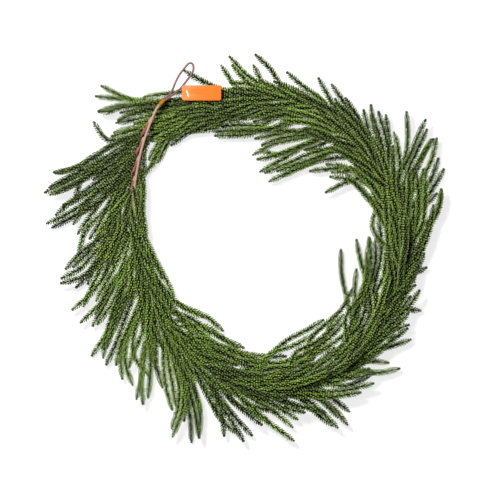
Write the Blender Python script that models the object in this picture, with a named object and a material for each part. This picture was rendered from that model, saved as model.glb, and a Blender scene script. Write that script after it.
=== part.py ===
"""An artificial pine garland laid out in an almost closed ring, with its hanging loop and hang tag.

The model lies on its surface: +Z is up, the origin is under the middle of the ring, +X and +Y run
along the surface. Lengths in this file are millimetres; MM turns them to Blender's metres.
"""
import math
import random

import bmesh
import bpy
import numpy as np
from mathutils import Matrix, Vector, kdtree

MM = 0.001
SHARP_ANGLE = 40.0           # degrees, where smooth shading breaks
CURVE_STEPS = 24             # fine steps from one given point of a curve to the next
NO_NEIGHBOUR = 99.0          # distance that stands for nothing near

# Hanging loop: a thin taped wire, both of its ends in the crimp
LOOP_RADIUS = 1.6
LOOP_POINTS = 29
LOOP_ROUTE = (               # from one end, round the eye, to the other
    (-145.2, 260.1, 54.0), (-140.8, 265.1, 54.0), (-136.0, 268.6, 53.5),
    (-122.4, 279.0, 52.5), (-113.4, 286.2, 51.5), (-107.0, 294.6, 50.5), (-95.8, 309.6, 49.5),
    (-91.6, 317.0, 49.0), (-90.7, 325.8, 48.5), (-94.8, 332.4, 48.5), (-101.4, 329.0, 48.5),
    (-107.6, 321.4, 49.0), (-115.6, 311.0, 50.0), (-121.6, 299.6, 51.0), (-129.8, 280.6, 52.5),
    (-136.2, 272.6, 53.5), (-143.6, 267.7, 54.0), (-148.1, 262.8, 54.0),
)

# Stem: the taped wire that carries the sprays
STEM_RADIUS = 2.25
STEM_POINT_STEP = 26.0
STEM_READ_STEP = 1.0         # between the points by which places on it are found
STEM_WAY_POINTS = 6          # of those points, looked at on each side for the stem's direction
STEM_ROUGH_POINTS = 400      # to measure its length
STEM_END = ((-147.1, 261.0, 54.0), (-151.6, 256.1, 54.1))   # its first points, in the crimp
STEM_END_RADIUS = 1.75
LEADER_ROUTE = (             # on from the crimp, round the ring to the tail's end under the leader
    (-156.8, 249.4, 54.5), (-164.4, 232.2, 55.0), (-172.4, 212.4, 54.0), (-181.0, 187.2, 51.0),
    (-187.2, 163.8, 47.0), (-191.9, 140.4, 43.0), (-195.7, 117.0, 39.0), (-199.6, 86.4, 35.0),
    (-198.9, 57.6, 32.0), (-192.6, 18.0, 30.0), (-181.8, -25.0, 28.0), (-169.2, -63.0, 28.0),
    (-144.0, -126.0, 28.0), (-106.0, -180.0, 28.0), (-57.6, -223.0, 28.0), (2.0, -250.0, 28.0),
    (65.0, -257.0, 28.0), (128.0, -243.0, 28.0), (182.0, -211.0, 28.0), (227.0, -162.0, 28.0),
    (259.0, -103.0, 28.0), (277.0, -40.0, 28.0), (279.0, 23.0, 28.0), (265.0, 79.0, 28.0),
    (239.0, 151.0, 28.0), (198.0, 205.0, 28.0), (124.0, 250.0, 28.0), (74.0, 264.0, 26.0),
    (25.0, 268.0, 22.0), (-29.0, 259.0, 19.0), (-88.0, 245.0, 17.0),
)

# Crimp: an oval brass sleeve round both ends of the loop and the stem's end
CRIMP_AXIS = ((-142.2, 266.4, 54.0), (-151.2, 256.5, 54.0))
CRIMP_LENGTH = 14.0
CRIMP_WALL = 0.6
CRIMP_CLEARANCE = 0.4
LEG_SPACING = 3.7            # between the loop's legs in it

# Tag: it lies on the loop's right leg, held to that leg by a pin through its hole
TAG_SIZE = (70.0, 27.0, 0.9)
TAG_CORNER = 4.0
TAG_CENTRE = (-76.0, 278.0, 53.37)
TAG_HOLE_RADIUS = 2.2
TAG_HOLE = (-101.0, 276.5)
PIN_RADIUS = 0.6
PIN_BAR_RADIUS = 1.1
PIN_BAR_LENGTH = 13.0
PIN_BAR_TURN = -72.0         # degrees, of the bar on the tag's face
PIN_ROUTE = (                # from the bar down through the hole and along under the loop's leg
    (-101.0, 276.5, 55.22), (-101.0, 276.5, 52.0), (-102.4, 277.4, 49.7), (-106.5, 280.6, 49.0),
    (-111.0, 284.4, 49.1), (-115.8, 284.3, 49.5), (-119.6, 281.2, 49.9),
)
PIN_POINTS = 14

# Sprays: a taped twig with the sprigs that start from it
SPRAY_SPACING = 36.0
FIRST_SPRAY = 22.0           # past the crimp
TWIG_RADIUS = 1.9
TWIG_LENGTH = 34.0
TWIG_POINTS = 3
TWIG_TILT = math.radians(45.0)   # sets a flat side of the square twig against the stem
TWIG_COURSE = ((0.0, 0.0), (0.4, 0.8), (1.0, 7.0))   # share along it, how far off its seat there
TWIG_TURN = 35.0             # degrees above or below the level, in turn
SEAT_GAP = 0.48
MAIN_SPRIGS = 4              # start from the twig
SPRIGS_FROM = 0.45           # share of the twig before its first sprig
SPRIGS_OVER = 0.5            # share of the twig over which its sprigs start
SPRIGS_A_SPRAY = 5           # with those that start from another sprig
SPRIG_LENGTH = (125.0, 168.0)
SPRIG_REACH_BACK = 158.0     # length of a sprig whose tip is given
CORE_RADIUS = 1.7
ROOT_RADIUS = 0.7            # sunk in what the sprig grows from
TIP_RADIUS = 0.9
SIDE_APART = (13.0, 19.0)    # between a side sprig and its host
SIDE_LIFT = (-12.0, 14.0)    # of a side sprig's tip above its host
SIDE_END = (-2.5, 0.5)       # its tip past the host's, in points of the host's line
SIDE_COURSE = ((0.2, 0.65), (0.5, 1.0), (1.0, 1.0))   # share along it, share of the way apart
JOINTS = (3, 5, 4)           # points of the host's line where side sprigs start
CORE_STEP = 40.0             # between the core's rings
CORE_GAP = 1.1               # between the cores of two sprays, or a core and the stem
NEEDLE_CLEARANCE = 0.5
NEEDLE_REACH = 6.0           # from the sprig's middle line to the needle's tip
NEEDLE_BASE = 6.5            # length of its foot along the core
NEEDLE_LEAN = 4.5            # how far the needle's tip lies ahead of its foot
SHORTEST_NEEDLE = 3.0
LAST_NEEDLES = 0.6           # share of the others' reach
NEEDLE_TRIES = 4             # at drawing a needle in where it would meet another piece
DRAW_IN = (0.6, 0.1)         # share of what is too near that each try takes off, and a bit more
NEEDLE_LOOK = 4.0            # how much farther than its reach other pieces are looked for
DENSE_STEP = 3.0             # between the spots by which other pieces are found

# Making of the solids
WELD = 0.001
GROUND_DEPTH = 0.02          # metres, of the cutter under the surface

# Resting spots: on every so many sprays one sprig lies on the surface and is flat there
REST_EVERY = 5
REST_FIRST = 2
REST_HEIGHT = 1.0            # of the sprig's middle line
REST_COMES_DOWN = 0.6        # share of its height that the point before keeps

# Course of the sprigs: the way each one takes from its twig to its tip
LINE_POINTS = 16
ROOT_STEPS = 100             # equal steps of a twig at which a sprig can start
MAIN_COURSE = (0.35, 0.7, 1.0)   # shares along a sprig where its course is set
ASIDE_BEND = 0.72            # below 1: it leaves the stem early and then runs on beside it
ALONG_RING = 0.75            # share of the ring's own bow that it follows
RISE_BEND = 1.3
GIVEN_RISE_BEND = 0.8
WAVER = 3.0                  # up or down, at random
LEAST_RUN = 0.4              # least way along the stem, as a share of its length
LEAST_HIDDEN = 30.0          # of a sprig whose tip is given, in the foliage
LEAST_BACK = 0.9             # least way back along the stem, as a share of its way aside
SPOTS_ACROSS = 25            # across the foliage, among which a tip finds its place
DOME_EDGE = 20.0             # height of the foliage at its edges
DOME_RISE = 52.0             # and how much higher it is over the stem
LOWEST_TIP = 10.0

# Foliage: how near to each other the sprigs lie
SPRIG_SPACING = 11.0
STEM_SPACING = 8.5
SETTLE_TURNS = 150
SETTLE_LOOK = 10             # turns after which the neighbours are looked for again
SETTLE_MARGIN = 5.0          # how much farther than the spacing they are looked for
SETTLE_PUSH = 0.3            # share of the missing distance made up in a turn
SETTLE_BLEND = 0.5           # share of a point's shift that is its own, the rest its neighbours'
GIVEN_FREEDOM = 0.35         # of a sprig with a given tip to shift sideways
FREEDOM = 0.8                # and of the others
RECALL = 0.016               # share of its shift that a held sprig loses in a turn
TOP_PRESS = 0.2              # share of what stands over the top that is taken back in a turn
CLEAR_TURNS = 130
CLEAR_LOOK = 6
CLEAR_MARGIN = 3.0
CLEAR_PUSH = 0.5
CLEAR_BLEND = (0.7, 0.15)    # share of a point's shift that is its own, and each neighbour's
SPREAD_TURNS = 50            # for so long each push also moves the points beside it
CLEAR_STEP = 4.0
PASS_OVER = 0.5              # favours the way over a twig or the stem where a sprig crosses it
LOWEST_LINE = 6.4
TOP_OF_FOLIAGE = 76.0
SAME_PLACE = 55.0            # sprig tips this near to each other along the stem share its width
TOGETHER = 9.0               # points of one spray that start nearer than this stay as they grow
LEADER_BARE = 150.0          # no foliage lies on the leader before this
TAIL_START = 1260.0          # from here on the sprigs run on under the leader
SEED = 7

# Width of the foliage: distance along the stem from the crimp, reach to the ring's inside and outside
FOLIAGE_WIDTH = (
    (0.0, 34.0, 60.0), (120.0, 22.0, 84.0), (200.0, 14.0, 82.0), (330.0, 18.0, 92.0),
    (450.0, 40.0, 90.0), (560.0, 50.0, 84.0), (700.0, 54.0, 64.0), (850.0, 50.0, 70.0),
    (980.0, 52.0, 48.0), (1080.0, 30.0, 70.0), (1200.0, 62.0, 76.0), (1330.0, 84.0, 44.0),
    (1450.0, 56.0, 30.0), (1600.0, 30.0, 26.0),
)

# Sprigs that stand out of the foliage, each from its tip inward along its middle line
TAIL_SPRIGS = (
    ((-256, 292), (-223, 277), (-184, 261)),
    ((-266, 274), (-209, 268)),
    ((-261, 247), (-238, 245), (-212, 258)),
    ((-207, 245), (-180, 257)),
    ((-225, 230), (-196, 243)),
    ((-169, 162), (-157, 185), (-139, 209), (-106, 227)),
    ((-187, 176), (-169, 198), (-146, 218), (-106, 239)),
    ((-130, 198), (-112, 216), (-79, 230), (-34, 239)),
    ((-155, 157), (-144, 180), (-130, 198), (-100, 218)),
    ((-187, 126), (-169, 135), (-160, 158), (-155, 186)),
    ((-133, 193), (-115, 211), (-88, 218), (-50, 222)),
    ((-95, 211), (-79, 214), (-58, 227), (-20, 236)),
    ((-106, 319), (-70, 297), (-34, 281)),
)
LEFT_SPRIGS = (
    ((-270, 225), (-254, 205), (-233, 190)),
    ((-342, 137), (-313, 140), (-277, 162), (-241, 182)),
    ((-358, 101), (-304, 126), (-241, 158)),
    ((-347, 97), (-304, 117), (-243, 146)),
    ((-304, 90), (-295, 117), (-276, 142)),
    ((-270, 124), (-236, 146)),
    ((-338, 61), (-313, 83), (-280, 107)),
    ((-353, 45), (-304, 68), (-259, 104)),
    ((-346, 38), (-299, 62), (-255, 92)),
    ((-295, 61), (-252, 92)),
    ((-299, 27), (-281, 50), (-258, 84)),
    ((-299, -11), (-295, 14), (-272, 48)),
    ((-308, -32), (-286, -13), (-262, 22)),
    ((-328, -54), (-304, -43), (-278, -18)),
    ((-328, -63), (-299, -56), (-268, -30)),
    ((-302, -70), (-288, -56), (-262, -26)),
    ((-308, -110), (-290, -94), (-262, -66)),
    ((-293, -133), (-274, -117), (-252, -90)),
    ((-272, -139), (-256, -110)),
    ((-263, -136), (-243, -108)),
    ((-274, -193), (-259, -171), (-238, -138)),
    ((-257, -180), (-243, -158), (-226, -128)),
    ((-248, -209), (-235, -183)),
    ((-230, -209), (-224, -180)),
    ((-220, -234), (-224, -204), (-212, -160)),
    ((-202, -245), (-212, -216), (-214, -178)),
)
LEFT_INNER_SPRIGS = (
    ((-185, 29), (-189, 72)),
    ((-151, -43), (-164, -13), (-180, 20)),
    ((-137, -97), (-153, -68), (-170, -30)),
    ((-56, -175), (-79, -157), (-115, -126), (-142, -94)),
    ((-14, -223), (-43, -205), (-70, -175), (-101, -133)),
    ((20, -203), (-11, -187), (-52, -175), (-86, -151)),
    ((-34, -214), (-61, -196), (-88, -166), (-115, -121)),
    ((56, -216), (20, -214), (-22, -205), (-65, -187)),
)
BOTTOM_SPRIGS = (
    ((-193, -270), (-185, -247), (-180, -205)),
    ((-182, -279), (-182, -247), (-186, -210)),
    ((-173, -268), (-167, -247), (-170, -205)),
    ((-171, -229), (-187, -205), (-203, -176)),
    ((-148, -250), (-155, -223), (-166, -188)),
    ((-130, -290), (-137, -265), (-144, -225)),
    ((-128, -338), (-115, -306), (-108, -262)),
    ((-130, -324), (-120, -296), (-114, -255)),
    ((-108, -310), (-104, -270)),
    ((-95, -349), (-97, -310), (-104, -262)),
    ((-81, -338), (-77, -313), (-88, -268)),
    ((-77, -293), (-88, -258)),
    ((-36, -337), (-40, -306), (-54, -264)),
    ((-2, -346), (-20, -315), (-44, -278)),
    ((13, -337), (-11, -311), (-36, -280)),
    ((88, -346), (70, -333), (25, -301), (-20, -276)),
    ((54, -293), (16, -284)),
    ((95, -308), (62, -288)),
    ((86, -322), (58, -298)),
    ((108, -295), (72, -276)),
    ((167, -322), (146, -301), (108, -268)),
    ((157, -319), (128, -295), (92, -266)),
    ((185, -317), (164, -295), (136, -266)),
    ((189, -295), (155, -266), (114, -246)),
    ((144, -270), (106, -256)),
    ((142, -252), (100, -238)),
    ((221, -234), (191, -247), (146, -243)),
    ((193, -234), (150, -222)),
)
BOTTOM_INNER_SPRIGS = (
    ((-40, -149), (-58, -127), (-79, -122), (-119, -100)),
    ((-4, -182), (-34, -167), (-70, -142)),
    ((43, -205), (11, -198), (-29, -184), (-70, -162)),
    ((74, -196), (43, -196), (2, -194), (-40, -184)),
    ((122, -158), (92, -175), (46, -192)),
    ((142, -131), (110, -150), (62, -178)),
    ((164, -122), (158, -144), (136, -172)),
)
RIGHT_INNER_SPRIGS = (
    ((175, -5), (175, -40), (184, -79), (190, -115)),
    ((203, 13), (207, -14), (221, -58)),
    ((203, -40), (198, -70), (202, -105)),
    ((227, 16), (223, -18), (220, -56)),
    ((245, 112), (239, 68), (234, 22)),
    ((223, -25), (220, -58), (205, -94), (182, -130)),
    ((238, 14), (238, -25), (227, -67), (205, -108)),
    ((245, 59), (248, 14), (245, -36), (230, -79)),
    ((194, -76), (182, -103), (155, -133), (122, -157)),
    ((180, -121), (157, -148), (128, -171), (92, -189)),
    ((205, -130), (180, -157), (148, -180), (110, -202)),
    ((252, 104), (257, 59), (259, 5), (252, -43)),
)
RIGHT_SPRIGS = (
    ((279, -218), (236, -225), (188, -220)),
    ((259, -207), (214, -206)),
    ((299, -166), (272, -176), (226, -184)),
    ((295, -139), (264, -150), (234, -166)),
    ((283, -128), (252, -142)),
    ((317, -113), (290, -112), (256, -122)),
    ((308, -68), (281, -83), (252, -106)),
    ((328, -36), (302, -49), (278, -70)),
    ((324, -11), (311, -34), (292, -62)),
    ((328, 31), (319, 0), (302, -36)),
    ((356, 101), (355, 77), (338, 56), (314, 30)),
    ((347, 97), (326, 74), (302, 48)),
    ((351, 160), (344, 133), (322, 102)),
    ((347, 196), (340, 164), (322, 128)),
    ((337, 194), (322, 164), (306, 128)),
    ((329, 212), (316, 184), (298, 148)),
    ((326, 229), (314, 205), (300, 168)),
    ((293, 243), (295, 203), (290, 160)),
    ((256, 238), (260, 206)),
    ((229, 256), (232, 221), (246, 180)),
    ((216, 247), (222, 218)),
    ((207, 238), (212, 208)),
)
TOP_SPRIGS = (
    ((135, 304), (146, 280), (166, 250)),
    ((90, 284), (106, 264)),
    ((79, 315), (106, 292), (144, 264)),
    ((22, 347), (40, 333), (61, 299), (86, 268)),
    ((18, 328), (29, 306), (50, 278)),
    ((-25, 344), (-7, 324), (26, 295)),
    ((-40, 328), (-22, 306), (-2, 276)),
)
TOP_INNER_SPRIGS = (
    ((-31, 212), (11, 212), (58, 219)),
    ((-79, 218), (-43, 220), (2, 223), (47, 227)),
    ((-54, 216), (-11, 214), (32, 216), (83, 221)),
    ((-22, 211), (22, 211), (65, 212), (110, 212)),
    ((22, 198), (50, 203), (92, 211)),
    ((18, 169), (40, 184), (83, 194), (128, 203)),
    ((31, 175), (41, 163), (70, 171), (110, 186)),
    ((31, 139), (56, 152), (88, 172), (122, 192)),
    ((40, 137), (65, 142), (101, 164)),
    ((74, 131), (97, 146), (130, 156), (170, 164)),
    ((121, 139), (150, 141), (184, 142)),
    ((151, 151), (182, 149)),
    ((157, 128), (190, 124)),
    ((149, 101), (169, 107), (186, 121), (210, 130)),
    ((211, 119), (238, 112)),
)
STANDING_SPRIGS = (
    TAIL_SPRIGS + LEFT_SPRIGS + LEFT_INNER_SPRIGS + BOTTOM_SPRIGS + BOTTOM_INNER_SPRIGS
    + RIGHT_INNER_SPRIGS + RIGHT_SPRIGS + TOP_SPRIGS + TOP_INNER_SPRIGS
)
STANDING_TIP_HEIGHT = (9.0, 34.0)


def line_through(points, count):
    """A smooth line through the points, read at so many equal steps."""
    knots = np.array(points, dtype=float)
    ends = np.vstack((2 * knots[0] - knots[1], knots, 2 * knots[-1] - knots[-2]))
    fine = []
    for i in range(1, len(ends) - 2):
        before, here, there, after = ends[i - 1:i + 3]
        for t in np.linspace(0.0, 1.0, CURVE_STEPS, endpoint=False):
            fine.append(0.5 * (2 * here + (there - before) * t
                               + (2 * before - 5 * here + 4 * there - after) * t ** 2
                               + (3 * here - before - 3 * there + after) * t ** 3))
    fine.append(knots[-1])
    fine = np.array(fine)
    along = np.concatenate(([0.0], np.cumsum(np.linalg.norm(np.diff(fine, axis=0), axis=1))))
    steps = np.linspace(0.0, along[-1], count)
    return np.stack([np.interp(steps, along, fine[:, axis]) for axis in range(3)], axis=1)


class Stem:
    """The leader's middle line, read by the distance along it from the crimp."""

    def __init__(self):
        rough = line_through(LEADER_ROUTE, STEM_ROUGH_POINTS)
        length = float(np.linalg.norm(np.diff(rough, axis=0), axis=1).sum())
        self.bends = line_through(LEADER_ROUTE, int(length / STEM_POINT_STEP) + 1)
        self.line = np.array(line_points(self.bends, STEM_READ_STEP))
        self.length = float(np.linalg.norm(np.diff(self.line, axis=0), axis=1).sum())
        self.step = self.length / (len(self.line) - 1)

    def at(self, along):
        """The point there, the way on, and the level way to the ring's outside."""
        place = min(max(along / self.step, 0.0), len(self.line) - 1.001)
        first = int(place)
        point = self.line[first] + (self.line[first + 1] - self.line[first]) * (place - first)
        back = self.line[max(first - STEM_WAY_POINTS, 0)]
        onward = self.line[min(first + STEM_WAY_POINTS, len(self.line) - 1)] - back
        onward = onward / np.linalg.norm(onward)
        outward = np.array((onward[1], -onward[0], 0.0))
        point = point + onward * (along - min(max(along, 0.0), self.length))
        return point, onward, outward / np.linalg.norm(outward)

    def nearest(self, spot, start=0.0):
        """How far along the stem the spot lies, past the start, and how far to its outside."""
        first = int(start / self.step)
        level = np.hypot(self.line[first:, 0] - spot[0], self.line[first:, 1] - spot[1])
        along = float(first + np.argmin(level)) * self.step
        point, _, outward = self.at(along)
        return along, float((spot[0] - point[0]) * outward[0] + (spot[1] - point[1]) * outward[1])


def foliage_reach(along):
    """How far the foliage reaches to the ring's inside and outside there."""
    table = np.array(FOLIAGE_WIDTH)
    return [float(np.interp(along, table[:, 0], table[:, column])) for column in (1, 2)]


def plan_sprigs(stem, draw):
    """Where each spray starts along the stem, and what its main sprigs are to do."""
    count = int((stem.length - FIRST_SPRAY) / SPRAY_SPACING) + 1
    stations = [FIRST_SPRAY + i * SPRAY_SPACING for i in range(count)]
    sprays = [[] for _ in stations]
    for given in STANDING_SPRIGS:
        start = TAIL_START if given in TAIL_SPRIGS else 0.0
        along, aside = stem.nearest(given[-1], start)
        tip_along, tip_aside = stem.nearest(given[0], start)
        shown = sum(math.dist(a, b) for a, b in zip(given, given[1:]))
        hidden = max(SPRIG_REACH_BACK - shown, LEAST_HIDDEN)
        back = math.sqrt(max(hidden ** 2 - aside ** 2, (LEAST_BACK * aside) ** 2))
        best = min(range(count), key=lambda i: abs(stations[i] + TWIG_LENGTH / 2 - (along - back)))
        sprays[best].append({"given": given[::-1], "height": draw.uniform(*STANDING_TIP_HEIGHT),
                             "tip_along": tip_along, "aside": tip_aside})
    for i, station in enumerate(stations):
        for _ in range(max(MAIN_SPRIGS - len(sprays[i]), 1)):
            length = draw.uniform(*SPRIG_LENGTH)
            near = [other["aside"] for spray in sprays for other in spray
                    if abs(other["tip_along"] - station - length) < SAME_PLACE]
            inside, outside = foliage_reach(station + length)
            spots = np.linspace(-inside, outside, SPOTS_ACROSS)
            room = [min((abs(spot - aside) for aside in near), default=NO_NEIGHBOUR) for spot in spots]
            aside = float(spots[int(np.argmax(room))])
            share = aside / (outside if aside > 0.0 else inside)
            dome = DOME_EDGE + DOME_RISE * math.sqrt(max(1.0 - share * share, 0.0))
            under_leader = station < LEADER_BARE or station > TAIL_START
            height = draw.uniform(LOWEST_TIP, STANDING_TIP_HEIGHT[1] if under_leader else dome)
            sprays[i].append({"length": length, "height": height,
                              "tip_along": station + length, "aside": aside})
    return stations, sprays


def lay_twig(stem, station, spray):
    """The taped twig and its turn: it starts on the stem, on the spray's own side, and eases away."""
    side = 1.0 if sum(sprig["aside"] for sprig in spray) > 0.0 else -1.0
    turn = math.radians(TWIG_TURN if int(station / SPRAY_SPACING) % 2 else -TWIG_TURN)
    if station < LEADER_BARE:
        turn = -math.radians(TWIG_TURN)
    seat = STEM_RADIUS + SEAT_GAP + TWIG_RADIUS * math.cos(TWIG_TILT)
    knots = []
    for share, off in TWIG_COURSE:
        point, _, outward = stem.at(station + share * TWIG_LENGTH)
        away = outward * side * math.cos(turn) + np.array((0.0, 0.0, math.sin(turn)))
        knots.append(point + away * (seat + off))
    return line_through(knots, TWIG_POINTS), side * turn


def main_line(stem, station, twig, share, sprig, draw):
    """A main sprig: from its place on the twig through its given points, or along the ring."""
    root = line_through(twig, ROOT_STEPS + 1)[int(share * ROOT_STEPS)]
    knots = [root]
    if "given" in sprig:
        spots = [np.array(spot, dtype=float) for spot in sprig["given"]]
        reach = np.cumsum([np.linalg.norm(b - a) for a, b in zip([root[:2]] + spots, spots)])
        for spot, along in zip(spots, reach):
            height = root[2] + (sprig["height"] - root[2]) * (along / reach[-1]) ** GIVEN_RISE_BEND
            knots.append(np.array((spot[0], spot[1], height)))
        return line_through(knots, LINE_POINTS)
    start = station + share * TWIG_LENGTH
    length, aside = sprig["length"], sprig["aside"]
    run = math.sqrt(max(length ** 2 - aside ** 2, (LEAST_RUN * length) ** 2))
    straight, onward, side = stem.at(start)
    for share in MAIN_COURSE:
        point, _, outward = stem.at(start + run * share)
        bowed = point + outward * aside * share ** ASIDE_BEND
        level = straight + onward * run * share + side * aside * share
        spot = ALONG_RING * bowed + (1.0 - ALONG_RING) * level
        rise = math.sin(share * math.pi / 2.0) ** RISE_BEND
        spot[2] = root[2] + (sprig["height"] - root[2]) * rise + draw.uniform(-WAVER, WAVER)
        knots.append(spot)
    return line_through(knots, LINE_POINTS)


def side_line(host, joint, side, draw):
    """A side sprig: it leaves its host at the joint and runs on beside it."""
    apart = side * draw.uniform(*SIDE_APART)
    lift = draw.uniform(*SIDE_LIFT)
    last = len(host) - 1
    end = last + draw.uniform(*SIDE_END)
    knots = [host[joint]]
    for share, spread in SIDE_COURSE:
        place = joint + (end - joint) * share
        low = min(int(place), last - 1)
        step = host[low + 1] - host[low]
        across = np.array((-step[1], step[0], 0.0)) / max(math.hypot(step[0], step[1]), 0.01)
        spot = host[low] + step * (place - low) + across * apart * spread
        spot[2] = max(spot[2] + lift * share, LOWEST_LINE)
        knots.append(spot)
    return line_through(knots, LINE_POINTS)


def lay_sprigs(stem, stations, sprays, draw):
    """The twigs, and each sprig's middle line with its spray, host, joint and freedom to shift."""
    lines, owners, twigs, turns = [], [], [], []
    side = 1
    for i, station in enumerate(stations):
        twig, turn = lay_twig(stem, station, sprays[i])
        twigs.append(twig)
        turns.append(turn)
        hosts = []
        for number, sprig in enumerate(sprays[i]):
            share = SPRIGS_FROM + SPRIGS_OVER * (number + 0.5) / len(sprays[i])
            hosts.append(len(lines))
            lines.append(main_line(stem, station, twig, share, sprig, draw))
            owners.append((i, -1, 0, GIVEN_FREEDOM if "given" in sprig else FREEDOM))
        for number in range(max(SPRIGS_A_SPRAY - len(hosts), 0)):
            host = hosts[(number + i) % len(hosts)]
            joint = JOINTS[(number + i) % len(JOINTS)]
            side = -side
            lines.append(side_line(lines[host], joint, side, draw))
            owners.append((i, host, joint, FREEDOM))
    return np.array(lines), owners, twigs, turns


def fixed_points(stem):
    """Points that the sprigs keep away from: the stem, its loop, the tag and its pin."""
    points = [stem.at(along)[0] for along in np.arange(0.0, stem.length, 6.0)]
    points.extend(line_through(LOOP_ROUTE, 40))
    points.extend(line_through(PIN_ROUTE, 8))
    length, width, _ = TAG_SIZE
    for x in np.linspace(-length / 2, length / 2, 9):
        for y in np.linspace(-width / 2, width / 2, 4):
            points.append(np.array(TAG_CENTRE) + np.array((x, y, 0.0)))
    return np.array(points)


def near_pairs(points, reach):
    """Index pairs of points that lie within reach of each other."""
    tree = kdtree.KDTree(len(points))
    for index, point in enumerate(points):
        tree.insert(point, index)
    tree.balance()
    pairs = []
    for index, point in enumerate(points):
        pairs.extend((index, other) for _, other, _ in tree.find_range(point, reach) if other > index)
    return np.array(pairs)


def settle(lines, owners, stem):
    """The sprigs pushed apart until they lie beside and on each other, with their roots held."""
    count, steps, _ = lines.shape
    fixed = fixed_points(stem)
    owner = np.concatenate((np.repeat(np.arange(count), steps), np.full(len(fixed), -1)))
    spray = np.array([of[0] for of in owners] + [-1])[owner]
    hosts = np.array([of[1] for of in owners])
    joints = np.array([of[2] for of in owners])
    ease = np.array([of[3] for of in owners])
    sides = np.nonzero(hosts >= 0)[0]
    loose = np.tile(np.clip((np.arange(steps) - 1.0) / 4.0, 0.0, 1.0), (count, 1))
    loose[sides] = np.clip(np.arange(steps) / 3.0, 0.0, 1.0)
    freedom = np.stack((ease[:, None] * loose, ease[:, None] * loose, loose), axis=2) * SETTLE_PUSH
    recall = 1.0 - RECALL * (1.0 - ease)[:, None, None]
    start = np.vstack((lines.reshape(-1, 3), fixed))
    shift = np.zeros_like(lines)
    for turn in range(SETTLE_TURNS):
        points = np.vstack(((lines + shift).reshape(-1, 3), fixed))
        if turn % SETTLE_LOOK == 0:
            first, second = near_pairs(points, SPRIG_SPACING + SETTLE_MARGIN).T
            apart_at_first = np.linalg.norm(start[first] - start[second], axis=1)
            grown_together = (spray[first] == spray[second]) & (apart_at_first < TOGETHER)
            keep = (owner[first] != owner[second]) & ~grown_together
            first, second = first[keep], second[keep]
            wanted = np.where(owner[second] < 0, STEM_SPACING, SPRIG_SPACING)
        between = points[first] - points[second]
        distance = np.maximum(np.linalg.norm(between, axis=1), 0.01)
        push = between * (np.maximum(wanted - distance, 0.0) / distance)[:, None]
        moves = np.zeros_like(points)
        np.add.at(moves, first, push)
        np.add.at(moves, second, -push)
        shift += moves[:count * steps].reshape(lines.shape) * freedom
        shift[sides, 0] = shift[hosts[sides], joints[sides]]
        beside = 0.5 * (1.0 - SETTLE_BLEND) * (shift[:, :-2] + shift[:, 2:])
        shift[:, 1:-1] = SETTLE_BLEND * shift[:, 1:-1] + beside
        shift[:, :, 2] -= np.maximum(lines[:, :, 2] + shift[:, :, 2] - TOP_OF_FOLIAGE, 0.0) * TOP_PRESS
        shift[:, :, 2] = np.maximum(shift[:, :, 2], LOWEST_LINE - lines[:, :, 2])
        shift[:, :, :2] *= recall
        shift[hosts < 0, :2] = 0.0
        shift[sides, 0] = shift[hosts[sides], joints[sides]]
    return lines + shift


def place_on(core, spot):
    """Where on the core the spot lies nearest: the point behind it and the share on to the next."""
    nearest = []
    for index, (a, b) in enumerate(zip(core, core[1:])):
        share = min(max(float((spot - a) @ (b - a)) / float((b - a) @ (b - a)), 0.0), 1.0)
        nearest.append((float(np.linalg.norm(a + (b - a) * share - spot)), index, share))
    return min(nearest)[1:]


def cut_cores(lines, owners):
    """Each sprig's core as a few points, one sprig of some sprays lowered to lie on the surface."""
    cores = []
    for line in lines:
        length = float(np.linalg.norm(np.diff(line, axis=0), axis=1).sum())
        cores.append(line_through(line, max(int(round(length / CORE_STEP)), 3) + 1))
    resting = []
    for spray in range(REST_FIRST, owners[-1][0] + 1, REST_EVERY):
        choice = [(core[i][2] + core[i + 1][2], number, i) for number, core in enumerate(cores)
                  if owners[number][0] == spray and owners[number][1] < 0
                  for i in range(2, len(core) - 1)]
        _, number, i = min(choice)
        cores[number][i:i + 2, 2] = REST_HEIGHT
        cores[number][i - 1, 2] = REST_COMES_DOWN * cores[number][i - 1, 2]
        resting.extend(((number, i), (number, i + 1)))
    return cores, resting


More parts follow.
